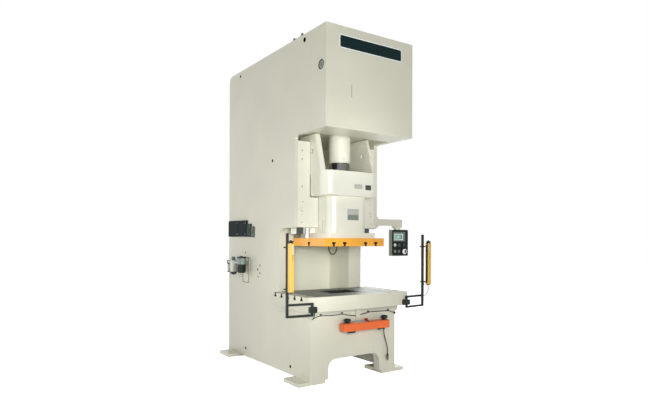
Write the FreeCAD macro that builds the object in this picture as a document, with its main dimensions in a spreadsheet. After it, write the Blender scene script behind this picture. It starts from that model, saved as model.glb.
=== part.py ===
"""Mechanical stamping press: a gap-frame press with one plunger-guided slide, parametric model.

Units are millimetres.  X runs to the right seen from the operator's side, Y runs to the rear and
Z runs up.  The origin is the middle of the anchor-bolt rectangle, on the floor.
"""
import FreeCAD, Part
import math
import os
import re
import Sketcher

# Every driving size: name, value (or a formula of the names above it), what it measures.
SIZES = [
    ("side_span", 1210, "overall width over the two side plates"),
    ("side_depth", 2100, "front to rear length of the side plates"),
    ("total_height", 3830, "floor to the top of the crown"),
    ("side_wall", 50, "thickness of a side plate"),
    ("half_span", "=side_span / 2", "centre plane to the outer face of a side plate"),
    ("inner_half", "=half_span - side_wall", "centre plane to the inner face of a side plate"),
    ("front_face", "=-side_depth / 2", "front face of the base"),
    ("rear_face", "=side_depth / 2", "rear edge of the side plates"),
    ("foot_thickness", 40, "thickness of a foot plate"),
    ("foot_span", 1500, "overall width over the feet"),
    ("foot_length", 320, "front to rear length of a foot plate"),
    ("foot_inner", 400, "centre plane to the inner edge of a foot plate"),
    ("anchor_bore", 36, "diameter of an anchor-bolt hole"),
    ("anchor_half_x", 690, "centre plane to the anchor bolts"),
    ("anchor_inset", 160, "front edge of a foot to its anchor bolt"),
    ("column_depth", 670, "depth of the throat, base front to column front"),
    ("jaw_depth", 342, "base front to the front face of the gibs"),
    ("press_axis_depth", 308, "base front to the plunger axis"),
    ("press_axis", "=front_face + press_axis_depth", "Y of the plunger axis"),
    ("base_top", 720, "floor to the top edge of the base plates"),
    ("gap_top", 1709, "floor to the underside of the jaw"),
    ("gap_round", 85, "radius of the throat's upper inner corner"),
    ("jaw_round", 28, "radius of the jaw's lower front corner"),
    ("crown_low", 2750, "floor to the underside of the crown"),
    ("crown_round", 90, "radius of the crown's upper rear corner"),
    ("arch_half", 365, "half width of the arch under the base"),
    ("arch_top", 255, "floor to the crest of the arch"),
    ("arch_round", 105, "corner radius of the arch"),
    ("base_plate", 100, "thickness of the base's front plate with its doubler"),
    ("rear_plate_depth", 40, "thickness of the rear plate"),
    ("panel_depth", 16, "thickness of the rear guard and the rear door"),
    ("column_half", 411, "centre plane to the inner face of a column"),
    ("column_wall", 40, "thickness of the column plates"),
    ("back_wall_depth", 1103, "base front to the wall behind the throat"),
    ("bed_half", 650, "centre plane to the end of the bed plate"),
    ("bed_thickness", 80, "thickness of the bed plate"),
    ("bolster_width", 1400, "length of the bolster, left to right"),
    ("bolster_depth", 780, "front to rear size of the bolster"),
    ("bolster_thickness", 163, "thickness of the bolster"),
    ("bolster_overhang", 117, "bolster front ahead of the base front"),
    ("bolster_low", "=base_top + bed_thickness", "floor to the bolster's underside"),
    ("bolster_top", "=bolster_low + bolster_thickness", "floor to the bolster's top"),
    ("bolster_front", "=front_face - bolster_overhang", "front face of the bolster"),
    ("drop_width", 410, "left to right size of the drop hole"),
    ("drop_depth", 300, "front to rear size of the drop hole"),
    ("slot_pitch", 143, "pitch of the bolster's T-slots"),
    ("slot_neck", 28, "width of a T-slot's neck"),
    ("slot_head", 48, "width of a T-slot's head"),
    ("slot_neck_depth", 26, "depth of a T-slot's neck"),
    ("slot_head_depth", 22, "height of a T-slot's head"),
    ("stroke", 180, "travel of the slide"),
    ("shut_travel", 60, "travel of the shut-height adjustment"),
    ("slide_low", 1501, "floor to the slide plate's underside at top of stroke"),
    ("plate_half", 425, "half width of the slide plate"),
    ("plate_depth", 660, "front to rear size of the slide plate"),
    ("plate_thickness", 92, "thickness of the slide plate"),
    ("plate_front", "=front_face - 8", "front face of the slide plate"),
    ("flange_half", 328, "half width of the slide's flange"),
    ("flange_thickness", 59, "thickness of the slide's flange"),
    ("flange_front", "=front_face + 40", "front face of the slide's flange"),
    ("neck_half", 275, "half width of the slide's lower block"),
    ("neck_front", "=front_face + 95", "front face of the slide's lower block"),
    ("neck_round", 115, "corner radius of the lower block"),
    ("housing_half", 388, "half width of the slide's upper housing"),
    ("housing_front", "=front_face + 20", "front face of the upper housing"),
    ("housing_round", 130, "corner radius of the upper housing"),
    ("housing_low", 2073, "floor to the upper housing's underside"),
    ("housing_top", 2355, "floor to the upper housing's front rim"),
    ("housing_edge", 24, "radius round the upper housing's lower edge"),
    ("well_floor", 2300, "floor to the bottom of the housing's open well"),
    ("ear_wall", 51, "thickness of an ear"),
    ("ear_round", 38, "radius of an ear's front outer edge"),
    ("ear_top", 2783, "floor to the top of an ear"),
    ("ear_foot_front", "=front_face + 97", "front of an ear at the housing's rim"),
    ("ear_head_front", "=front_face + 222", "front of an ear at its top"),
    ("slide_rear", "=front_face + 560", "rear face of the slide's body"),
    ("wing_half", 530, "centre plane to the end of a guide wing"),
    ("wing_low", 1640, "floor to the lower end of a guide wing"),
    ("wing_top", 2690, "floor to the upper end of a guide wing"),
    ("wing_front", "=front_face + 412", "front face of a guide wing"),
    ("wing_rear", "=front_face + 540", "rear face of a guide wing"),
    ("liner_thickness", 9.7, "thickness of a wear strip"),
    ("guide_gap", 0.3, "clearance between a wear strip and its guide"),
    ("liner_width", 90, "width of a wear strip"),
    ("gib_thickness", "=wing_front - liner_thickness - guide_gap - front_face - jaw_depth", "gib plate"),
    ("gib_half", 392, "centre plane to the inner edge of a gib, upper part"),
    ("gib_lower_half", 281, "centre plane to the inner edge of a gib, lower part"),
    ("gib_low", 1716, "floor to the lower end of a gib"),
    ("gib_step", 2062, "floor to the step in a gib's inner edge"),
    ("gib_top", 2700, "floor to the upper end of a gib"),
    ("plunger_radius", 92, "radius of the plunger"),
    ("guide_radius", 129, "outer radius of the plunger guide"),
    ("guide_low", 2472, "floor to the lower end of the plunger guide"),
    ("running_fit", 0.05, "radial clearance of a shaft in its bush"),
    ("seat_fit", 0.05, "radial clearance of a bush in its plate"),
    ("cover_reach", 295, "depth of the crown's front cover"),
    ("cover_wall", 12, "wall of the crown's front cover"),
    ("crown_plate", 50, "thickness of the crown's front and middle plates"),
    ("deck_thickness", 40, "thickness of the crown's floor and top plates"),
    ("deck_low", "=crown_low + 40", "floor to the underside of the crown's inner floor"),
    ("deck_top", "=deck_low + deck_thickness", "floor to the top of the crown's inner floor"),
    ("middle_plate_depth", 560, "base front to the crown's middle plate"),
    ("shaft_height", 3370, "floor to the eccentric shaft's axis"),
    ("shaft_radius", 80, "radius of the eccentric shaft's journals"),
    ("bush_wall", 15, "wall of a bearing bush"),
    ("throw", "=stroke / 2", "eccentricity of the eccentric shaft"),
    ("sheave_radius", 190, "radius of the eccentric sheave"),
    ("rod_width", 120, "thickness of the connecting rod along the shaft"),
    ("rod_length", 280, "eccentric centre to wrist pin"),
    ("ring_wall", 50, "wall of the connecting rod's big end"),
    ("wrist_radius", 45, "radius of the wrist pin"),
    ("wrist_eye", 64, "outer radius of the connecting rod's small end"),
    ("gear_module", 8, "module of the gear pair"),
    ("gear_teeth", 88, "teeth of the main gear"),
    ("pinion_teeth", 18, "teeth of the pinion"),
    ("gear_width", 120, "face width of the main gear"),
    ("gear_depth", 760, "base front to the main gear's front face"),
    ("gear_distance", "=gear_module * (gear_teeth + pinion_teeth) / 2", "centre distance of the pair"),
    ("pinion_height", "=shaft_height - gear_distance", "floor to the pinion shaft's axis"),
    ("pinion_journal", 50, "radius of the pinion shaft"),
    ("wheel_radius", 430, "outer radius of the flywheel"),
    ("wheel_width", 150, "width of the flywheel's rim"),
    ("wheel_depth", 1320, "base front to the flywheel's front face"),
    ("belt_count", 4, "number of V-belts"),
    ("belt_pitch", 26, "distance between V-belts"),
    ("belt_width", 16, "width of a V-belt"),
    ("belt_height", 12, "height of a V-belt"),
    ("motor_height", 2010, "floor to the motor's axis"),
    ("pulley_radius", 115, "outer radius of the motor pulley"),
    ("motor_radius", 165, "radius of the motor's housing"),
    ("motor_length", 420, "length of the motor's housing"),
    ("plate_slot_pitch", 150, "pitch of the slide plate's T-slots"),
    ("shank_bore", 60, "diameter of the shank hole in the shank bush"),
    ("shank_bush", 96, "outer diameter of the shank bush"),
    ("shank_depth", 70, "length of the shank bush"),
    ("window_left", 165, "left edge of the shut-height window"),
    ("window_low", 2152, "floor to the shut-height window"),
    ("window_width", 85, "width of the shut-height window"),
    ("window_tall", 57, "height of the shut-height window"),
    ("window_depth", 12, "depth of the shut-height window"),
    ("slit_plane", "=front_face + 260", "Y of the knock-out bar's slits in the lower block"),
    ("slit_low", 1661, "floor to the lower end of a slit"),
    ("slit_high", 1813, "floor to the upper end of a slit"),
    ("slit_width", 22, "width of a slit"),
    ("slit_depth", 15, "depth of a slit"),
    ("stop_reach", 400, "centre plane to the stop posts beside the flange"),
    ("stop_radius", 29, "radius of a stop post"),
    ("stop_top", 1705, "floor to the top of a stop post"),
    ("ear_bore", 52, "diameter of the cross hole through the ears"),
    ("ear_bore_height", 2588, "floor to the cross hole through the ears"),
    ("lift_bore", 52, "diameter of the front lifting hole in a side plate"),
    ("side_bore", 38, "diameter of the other lifting and fixing holes in a side plate"),
    ("side_bore_depth", 30, "depth of those holes"),
    ("oil_bore", 24, "diameter of the oil ports in the left side plate"),
    ("plug_bore", 106, "diameter of the round hole in the cover's left side"),
    ("plug_plane", "=front_face - 200", "Y of the round hole in the cover's left side"),
    ("plug_height", 3411, "floor to the round hole in the cover's left side"),
    ("sign_half", 437, "half width of the sign recess in the cover's front"),
    ("sign_low", 3596, "floor to the sign recess"),
    ("sign_high", 3740, "floor to the top of the sign recess"),
    ("sign_depth", 2.5, "depth of the sign recess"),
    ("mark_left", -279, "left edge of the upright groove in the cover's front"),
    ("mark_width", 8, "width of the upright groove"),
    ("mark_low", 3092, "floor to the lower end of the upright groove"),
    ("mark_high", 3227, "floor to the upper end of the upright groove"),
    ("mark_depth", 3, "depth of the upright groove"),
    ("cover_seam", 3, "radius round the cover's rear side edges"),
    ("plunger_seat", 180, "depth of the plunger's seat in the slide"),
    ("nut_radius", 122, "outer radius of the clamp nut"),
    ("nut_height", 84, "height of the clamp nut"),
    ("nut_slot", 24, "width of the clamp nut's slots"),
    ("wrist_height", "=shaft_height + throw - rod_length", "floor to the wrist pin at top of stroke"),
    ("cheek_gap", 6, "side clearance of the rod in the crosshead"),
    ("cheek_wall", 40, "thickness of a crosshead cheek"),
    ("cheek_half", 190, "half width of the crosshead"),
    ("cheek_rise", 100, "wrist pin to the top of the crosshead"),
    ("foot_wall", 36, "thickness of the crosshead's foot"),
    ("crosshead_low", "=wrist_height - wrist_eye - 22 - foot_wall", "floor to the crosshead's foot"),
    ("flange_wall", 30, "thickness of the plunger guide's flange"),
    ("curtain_reach", 954, "centre plane to a light curtain's post"),
    ("post_plane", "=bolster_front + 7", "Y of a light curtain's post"),
    ("curtain_pivot", 665, "centre plane to the short pivot bar"),
    ("curtain_plane", "=bolster_front - 23", "Y of the light curtain's bracket"),
    ("curtain_bar", 23, "side of the bracket's square bar"),
    ("pivot_radius", 15, "radius of the short pivot bar"),
    ("crossbar_half", 41, "half length of the clamp bars across a post"),
    ("crossbar_radius", 6.5, "radius of the clamp bars across a post"),
    ("station_left", -232, "left end of the two-hand station"),
    ("station_width", 650, "length of the two-hand station"),
    ("station_low", 562, "floor to the station's underside"),
    ("station_height", 88, "height of the station"),
    ("station_depth", 105, "front to rear size of the station"),
    ("station_gap", 24, "base front to the station's back"),
    ("arm_reach", 360, "pendant arm's pivot to the pendant's own pivot"),
    ("arm_height", 1757, "floor to the underside of the pendant arm"),
    ("arm_tall", 82, "height of the pendant arm's section"),
    ("arm_wide", 60, "width of the pendant arm's section"),
    ("arm_depth", 420, "base front to the pendant arm's axis"),
    ("pendant_width", 276, "width of the pendant box"),
    ("pendant_height", 340, "height of the pendant box"),
    ("pendant_low", 1367, "floor to the underside of the pendant box"),
    ("pendant_thick", 62, "front to rear size of the pendant box"),
    ("guard_half", 490, "half width of the flywheel guard"),
    ("guard_low", 2420, "floor to the guard's lower edge"),
    ("guard_high", 3500, "floor to the guard's upper edge"),
    ("door_half", 400, "half width of the rear door"),
    ("door_low", 1400, "floor to the rear door's lower edge"),
    ("door_high", 2320, "floor to the rear door's upper edge"),
    ("panel_lap", 20, "lap of the guard and the door on their openings"),
    ("hinge_axis", "=-door_half - 8", "X of the rear door's hinge pins"),
    ("hinge_plane", "=rear_face - 2", "Y of the rear door's hinge pins"),
    ("hinge_pin", 4, "radius of a hinge pin"),
    ("hinge_barrel", 8, "radius of a hinge barrel"),
    ("arm_pivot", "=half_span + 45", "X of the pendant arm's pin"),
    ("arm_plane", "=front_face + arm_depth", "Y of the pendant arm's axis"),
    ("arm_pin", 14, "radius of the pendant arm's pin"),
    ("pendant_pivot", "=arm_pivot + arm_reach", "X of the pendant's own pivot"),
    ("pendant_left", "=pendant_pivot - 108", "left side of the pendant box"),
    ("pendant_face", "=arm_plane - pendant_thick / 2", "front face of the pendant box"),
    ("pendant_top", "=pendant_low + pendant_height", "top of the pendant box"),
    ("button_radius", 20, "radius of a push button"),
    ("palm_radius", 40, "radius of a palm button"),
    ("palm_travel", 8, "travel of a palm button"),
    ("palm_left", -159, "X of the left palm button"),
    ("palm_right", 374, "X of the right palm button"),
    ("stop_x", 106, "X of the station's stop button"),
    ("station_rear", "=front_face - station_gap", "back of the two-hand station"),
    ("station_front", "=station_rear - station_depth", "front of the two-hand station"),
    ("station_middle", "=station_rear - station_depth / 2", "Y of the station's buttons"),
    ("station_top", "=station_low + station_height", "top of the two-hand station"),
    ("curtain_low", 770, "floor to the lower end of a curtain bracket"),
    ("curtain_high", 1640, "floor to the top of a curtain post"),
    ("curtain_frame", 143, "height of a bracket's lower frame"),
    ("unit_side", 50, "side of a light-curtain unit's section"),
    ("unit_reach", 963, "centre plane to the light-curtain units"),
    ("unit_plane", "=front_face - 199", "Y of the light-curtain units"),
    ("unit_low", 1030, "floor to the lower end of a unit"),
    ("unit_high", 1550, "floor to the upper end of a unit"),
    ("unit_point", 14, "height of a unit's bevelled ends"),
    ("cable_radius", 4.5, "radius of the clipped cable"),
    ("station_cable_radius", 6, "radius of the two-hand station's cable"),
    ("hose_radius", 6, "radius of the slide's hose"),
    ("curtain_cable_radius", 4, "radius of the light curtain's cable"),
    ("cable_way", 714, "floor to the clipped cable behind the hanger"),
    ("air_reach", 85, "side plate to the air unit's axis"),
    ("air_plane", "=-half_span - air_reach", "X of the air unit's axis"),
    ("lug_radius", 35, "radius round the pendant arm's lugs"),
    ("lug_reach", 22, "arm's face to the far side of a lug"),
    ("arm_play", 0.3, "axial play of the pendant arm between its lugs"),
    ("bed_lip", 30, "reach of the bed plate's sloping edge past the side plates"),
    ("bed_rise", 8, "height of the bed plate's edge above the base"),
    ("bed_slope", 26, "height where the bed plate's slope ends"),
    ("strap_left", 5, "left edge of the station's hanger strap"),
    ("strap_right", 60, "right edge of the station's hanger strap"),
    ("cable_room", 16, "half height and depth of the cable's way behind the strap"),
    ("foot_round", 18, "radius of a foot plate's outer corners"),
    ("cover_round", 6, "radius round the cover's front edges"),
    ("bolster_round", 5, "radius round the bolster's upper edges"),
    ("screw_rise", 7, "height of a gib screw's head"),
    ("guide_round", 8, "radius of a rear guide's lower edge"),
    ("flange_round", 10, "radius of the slide flange's front corners"),
    ("manifold_left", 85, "left side of the slide's hose manifold"),
    ("manifold_right", 262, "right side of the slide's hose manifold"),
    ("manifold_front", "=front_face + 600", "front of the hose manifold"),
    ("manifold_rear", "=front_face + 708", "rear of the hose manifold"),
    ("manifold_tall", 45, "height of the hose manifold"),
    ("slot_round", 40, "corner radius of the crosshead's slots"),
    ("journal_bevel", 4, "bevel on the shaft's ends"),
    ("wheel_hole", 60, "radius of the flywheel's lightening holes"),
    ("drum_radius", 220, "radius of the clutch and brake drum"),
    ("drum_length", 120, "length of the clutch and brake drum"),
    ("motor_bell", 30, "length of the motor's end bells"),
    ("motor_foot_half", 150, "half width over the motor's feet"),
    ("motor_shaft", 28, "radius of the motor's shaft"),
    ("motor_box_half", 60, "half side of the motor's terminal box"),
    ("fitting_radius", 17, "radius of the breather's fittings"),
    ("fitting_height", 30, "height of the breather's fittings"),
    ("fitting_cap", 11, "radius of the fittings' caps"),
    ("pipe_radius", 5, "radius of the breather's pipe"),
    ("louvre_height", 26, "height of a louvre in the guard"),
    ("louvre_pitch", 95, "distance between louvres"),
    ("handle_boss", 22, "radius of the door handle's boss"),
    ("box_round", 4, "radius of the enclosures' long edges"),
    ("oiler_plane", "=front_face + 1524", "Y of the oiler's axis"),
    ("regulator_plane", "=front_face + 1772", "Y of the regulator's axis"),
    ("oiler_half", 60, "half side of the oiler's head"),
    ("oiler_bowl", 58, "radius of the oiler's bowl"),
    ("oiler_low", 1138, "floor to the bottom of the oiler's bowl"),
    ("oiler_neck", 1290, "floor to the underside of the oiler's head"),
    ("oiler_top", 1340, "floor to the top of the oiler's head"),
    ("regulator_half", 46, "half side of the regulator's head"),
    ("regulator_bowl", 44, "radius of the regulator's bowl"),
    ("regulator_low", 1104, "floor to the bottom of the regulator's bowl"),
    ("regulator_neck", 1236, "floor to the underside of the regulator's head"),
    ("regulator_top", 1296, "floor to the top of the regulator's head"),
    ("knob_radius", 25, "radius of the regulator's knob"),
    ("knob_height", 46.7, "height of the regulator's knob"),
    ("air_pipe", 16, "radius of the air unit's pipes"),
    ("air_pipe_height", 1270, "floor to the air unit's pipes"),
    ("drain_radius", 9, "radius of the bowls' drain stubs"),
    ("tab_half", 7, "half height of the tabs that carry a light-curtain unit"),
    ("unit_round", 7, "radius of a unit's upright edges"),
    ("window_half", 15, "half width of a unit's sensing window"),
    ("window_end", 30, "unit's end to the end of its sensing window"),
    ("clamp_inset", 47, "pivot bar to the inner end of its clamp block"),
    ("clamp_depth", 48, "front to rear size of a clamp block"),
    ("clamp_low", "=bolster_low + 8", "floor to the underside of a clamp block"),
    ("clamp_high", "=bolster_low + 68", "floor to the top of a clamp block"),
    ("collar_rise", 6, "height of the button collars on the station"),
    ("palm_collar", 34, "radius of a palm button's collar"),
    ("stop_collar", 24, "radius of the stop button's collar"),
    ("palm_stem", 16, "radius of a palm button's stem"),
    ("stop_stem", 11, "radius of the stop button's stem"),
    ("drop_half", 62, "half width of the pendant arm's dropped end"),
    ("swivel_radius", 20, "radius of the pendant's swivel pin"),
    ("swivel_flange", 42, "radius of the pendant's swivel flange"),
    ("bezel_half", 28, "half side of a push button's bezel"),
    ("bezel_rise", 4, "height of a push button's bezel"),
    ("pendant_stop_x", "=pendant_left + 198", "X of the pendant's stop button"),
    ("pendant_stop_z", "=pendant_low + 56", "floor to the pendant's stop button"),
    ("pendant_stop_stem", 12, "radius of the pendant stop button's stem"),
    ("gland_radius", 12, "radius of the cable glands under the station"),
    ("gland_length", 25, "length of the cable glands"),
    ("socket_radius", 14, "radius of the station cable's socket"),
    ("socket_low", 152, "floor to the underside of the socket"),
    ("socket_length", 72, "height of the socket"),
    ("socket_x", 472, "X of the socket"),
    ("clip_half", 8, "half width of a cable clip"),
    ("clip_reach", 16, "reach of a cable clip from the base"),
]

doc = FreeCAD.newDocument("stamping_press")
sheet = doc.addObject("Spreadsheet::Sheet", "Sizes")
for row, (name, content, meaning) in enumerate(SIZES, start=1):
    sheet.set(f"A{row}", meaning)
    sheet.set(f"B{row}", str(content))
    sheet.setAlias(f"B{row}", name)
doc.recompute()

NAMES = {name for name, _, _ in SIZES}
X_WAY = FreeCAD.Vector(1, 0, 0)
Y_WAY = FreeCAD.Vector(0, 1, 0)
Z_WAY = FreeCAD.Vector(0, 0, 1)
TURN = {
    "x": FreeCAD.Rotation(Z_WAY, X_WAY),
    "y": FreeCAD.Rotation(Z_WAY, Y_WAY),
    "z": FreeCAD.Rotation(),
}
nodes = []


# ---------------------------------------------------------------- helpers

def bind(formula):
    """The formula with every named size written as a cell of the sheet."""
    def cell(found):
        return "Sizes." + found.group() if found.group() in NAMES else found.group()
    return re.sub(r"[a-z]+(?:_[a-z]+)*", cell, str(formula))


def size(formula):
    """The formula's present value in millimetres."""
    return float(sheet.evalExpression(bind(formula)))


def place(thing, x="0", y="0", z="0"):
    """Bind an object's position to three formulas."""
    for axis, formula in zip("xyz", (x, y, z)):
        thing.setExpression("Placement.Base." + axis, bind(formula))


def node(thing, label):
    """Register an object as the sub-part that the label names."""
    thing.Label = label
    nodes.append(thing)
    return thing


def block(x, y, z):
    """A box between pairs of formulas: (low, high) on each axis."""
    solid = doc.addObject("Part::Box", "Block")
    for side, (low, high) in zip(("Length", "Width", "Height"), (x, y, z)):
        solid.setExpression(side, bind(f"({high}) - ({low})"))
    place(solid, x[0], y[0], z[0])
    return solid


def drum(axis, radius, start, length):
    """A cylinder along an axis from a start point of three formulas."""
    solid = doc.addObject("Part::Cylinder", "Drum")
    solid.setExpression("Radius", bind(radius))
    solid.setExpression("Height", bind(length))
    solid.Placement = FreeCAD.Placement(FreeCAD.Vector(), TURN[axis])
    place(solid, *start)
    return solid


def cone(axis, radius_start, radius_end, start, length):
    """A tapered cylinder along an axis."""
    solid = doc.addObject("Part::Cone", "Cone")
    solid.setExpression("Radius1", bind(radius_start))
    solid.setExpression("Radius2", bind(radius_end))
    solid.setExpression("Height", bind(length))
    solid.Placement = FreeCAD.Placement(FreeCAD.Vector(), TURN[axis])
    place(solid, *start)
    return solid


def fused(*solids):
    """One solid from several that meet or overlap."""
    if len(solids) == 1:
        return solids[0]
    union = doc.addObject("Part::MultiFuse", "Union")
    union.Shapes = list(solids)
    union.Refine = True
    return union


def group(*solids):
    """Several separate solids kept as one sub-part."""
    together = doc.addObject("Part::Compound", "Group")
    together.Links = list(solids)
    return together


def cut(base, *tools):
    """The base less every tool."""
    difference = doc.addObject("Part::Cut", "Difference")
    difference.Base = base
    difference.Tool = fused(*tools)
    difference.Refine = True
    return difference


def rounded(base, radius, chosen):
    """The base with the edges that the test picks rounded to the radius."""
    doc.recompute()
    soft = doc.addObject("Part::Fillet", "Rounding")
    soft.Base = base
    picked = [i for i, edge in enumerate(base.Shape.Edges, start=1) if chosen(edge)]
    soft.Edges = [(i, size(radius), size(radius)) for i in picked]
    return soft


def along(axis):
    """A test for straight edges along an axis."""
    way = {"x": X_WAY, "y": Y_WAY, "z": Z_WAY}[axis]

    def test(edge):
        if not isinstance(edge.Curve, Part.Line):
            return False
        return abs(abs(edge.Curve.Direction.dot(way)) - 1) < 1e-6
    return test


def middle(edge):
    """The middle point of an edge."""
    return edge.valueAt((edge.FirstParameter + edge.LastParameter) / 2)


def edge_at(axis, x=None, y=None, z=None):
    """A test for straight edges along an axis that pass through the given coordinates."""
    straight = along(axis)
    wanted = [None if formula is None else size(formula) for formula in (x, y, z)]

    def test(edge):
        if not straight(edge):
            return False
        return all(w is None or abs(w - c) < 0.01 for w, c in zip(wanted, middle(edge)))
    return test


def either(*tests):
    """A test that holds where any of several does."""
    return lambda edge: any(test(edge) for test in tests)


def new_body():
    """An empty PartDesign body."""
    return doc.addObject("PartDesign::Body", "Body")


def outline(body, plane, height, *loops):
    """A sketch of closed loops on one of the body's origin planes, at a height above it.

    A loop is a list of (across, up) formula pairs, or a (across, up, radius) circle.
    """
    sketch = body.newObject("Sketcher::SketchObject", "Outline")
    origin_plane = [f for f in body.Origin.OriginFeatures if f.Role == plane][0]
    sketch.AttachmentSupport = [(origin_plane, "")]
    sketch.MapMode = "FlatFace"
    sketch.setExpression("AttachmentOffset.Base.z", bind(height))
    for loop in loops:
        if isinstance(loop, tuple):
            across, up, radius = loop
            centre = FreeCAD.Vector(size(across), size(up), 0)
            ring = sketch.addGeometry(Part.Circle(centre, Z_WAY, size(radius)), False)
            pin(sketch, ring, 3, across, up)
            fixed = sketch.addConstraint(Sketcher.Constraint("Radius", ring, size(radius)))
            sketch.setExpression(f"Constraints[{fixed}]", bind(radius))
            continue
        corners = [FreeCAD.Vector(size(across), size(up), 0) for across, up in loop]
        first = sketch.GeometryCount
        count = len(corners)
        for i, corner in enumerate(corners):
            sketch.addGeometry(Part.LineSegment(corner, corners[(i + 1) % count]), False)
        for i, (across, up) in enumerate(loop):
            before = first + (i - 1) % count
            sketch.addConstraint(Sketcher.Constraint("Coincident", before, 2, first + i, 1))
            pin(sketch, first + i, 1, across, up)
    return sketch


def pin(sketch, geometry, point, across, up):
    """Hold a sketch point at a pair of formulas."""
    for way, formula in (("DistanceX", across), ("DistanceY", up)):
        held = Sketcher.Constraint(way, -1, 1, geometry, point, size(formula))
        number = sketch.addConstraint(held)
        sketch.setExpression(f"Constraints[{number}]", bind(formula))


def pad(body, sketch, length, backwards=False):
    """Extrude a sketch into the body."""
    feature = body.newObject("PartDesign::Pad", "Pad")
    feature.Profile = sketch
    feature.Reversed = backwards
    feature.setExpression("Length", bind(length))
    return feature


def pocket(body, sketch, length, backwards=False):
    """Cut an extruded sketch out of the body and check that it takes material away."""
    doc.recompute()
    before = body.Shape.Volume
    feature = body.newObject("PartDesign::Pocket", "Pocket")
    feature.Profile = sketch
    feature.Reversed = backwards
    feature.setExpression("Length", bind(length))
    doc.recompute()
    if body.Shape.Volume > before - 1:
        raise ValueError("a pocket cuts nothing")
    return feature


def dressed(body, kind, measure, width, chosen):
    """The body's edges that the test picks, with a fillet or a chamfer on them."""
    doc.recompute()
    tip = body.Tip
    picked = [f"Edge{i}" for i, edge in enumerate(tip.Shape.Edges, start=1) if chosen(edge)]
    if not picked:
        raise ValueError("no edge to dress")
    feature = body.newObject(kind, "Dressed")
    feature.Base = (tip, picked)
    feature.setExpression(measure, bind(width))
    return feature


def soften(body, radius, chosen):
    """Round the body's edges that the test picks."""
    return dressed(body, "PartDesign::Fillet", "Radius", radius, chosen)


def bevel(body, width, chosen):
    """Bevel the body's edges that the test picks."""
    return dressed(body, "PartDesign::Chamfer", "Size", width, chosen)


def turned(axis, *loops):
    """A body of revolution; the loops are (along, radius) for X and Y, (radius, up) for Z."""
    body = new_body()
    plane, line = {
        "x": ("XZ_Plane", "H_Axis"), "y": ("YZ_Plane", "H_Axis"), "z": ("XZ_Plane", "V_Axis"),
    }[axis]
    profile = outline(body, plane, "0", *loops)
    feature = body.newObject("PartDesign::Revolution", "Turning")
    feature.Profile = profile
    feature.ReferenceAxis = (profile, [line])
    feature.Angle = 360
    return body


def rectangle(left, right, low, high):
    """The corners of an upright rectangle."""
    return [(left, low), (right, low), (right, high), (left, high)]


def span(side, near, far):
    """An X range on one side of the centre plane, in rising order."""
    if side > 0:
        return near, far
    return f"-({far})", f"-({near})"


# ---------------------------------------------------------------- frame

def side_plate(label, side):
    """One C-shaped side plate of the frame."""
    body = new_body()
    throat = "front_face + column_depth"
    jaw = "front_face + jaw_depth"
    shape = [
        ("front_face", "foot_thickness"), ("rear_face", "foot_thickness"),
        ("rear_face", "total_height"), ("front_face", "total_height"),
        ("front_face", "crown_low"), (jaw, "crown_low"), (jaw, "gap_top"),
        (throat, "gap_top"), (throat, "base_top"), ("front_face", "base_top"),
    ]
    low, _ = span(side, "inner_half", "half_span")
    pad(body, outline(body, "YZ_Plane", low, shape), "side_wall")
    soften(body, "gap_round", edge_at("x", y=throat, z="gap_top"))
    soften(body, "crown_round", edge_at("x", y="rear_face", z="total_height"))
    soften(body, "jaw_round", either(edge_at("x", y=jaw, z="gap_top"), edge_at("x", y=jaw, z="crown_low")))
    bores = [LIFT_BORE + ("lift_bore",)] + [(depth, height, "side_bore") for depth, height in SIDE_BORES]
    if side < 0:
        bores += [(depth, height, "oil_bore") for depth, height in OIL_PORTS]
    holes = [(f"front_face + {depth}", str(height), f"{bore} / 2") for depth, height, bore in bores]
    pocket(body, outline(body, "YZ_Plane", f"{side} * half_span", *holes), "side_bore_depth",
           backwards=side < 0)
    if side < 0:
        return node(body, label)
    lugs = []
    for low, high in (("arm_height - lug_reach", "arm_height - arm_play"),
                      ("arm_height + arm_tall + arm_play", "arm_height + arm_tall + lug_reach")):
        lug = block(("half_span", "arm_pivot"), ("arm_plane - lug_radius", "arm_plane + lug_radius"),
                    (low, high))
        lugs += [lug, drum("z", "lug_radius", ("arm_pivot", "arm_plane", low), f"{high} - ({low})")]
    pin_bar = drum("z", "arm_pin", ("arm_pivot", "arm_plane", "arm_height - 20"), "arm_tall + 40")
    return node(fused(body, *lugs, pin_bar), label)


LIFT_BORE = (128, 3766)
SIDE_BORES = [(1754, 3768), (848, 2526), (1560, 146), (411, 129)]
OIL_PORTS = [(1585, 1403), (1167, 1250), (1232, 1195), (1169, 1150), (1218, 1103)]
side_plate("side_plate_left", -1)
side_plate("side_plate_right", 1)


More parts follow.
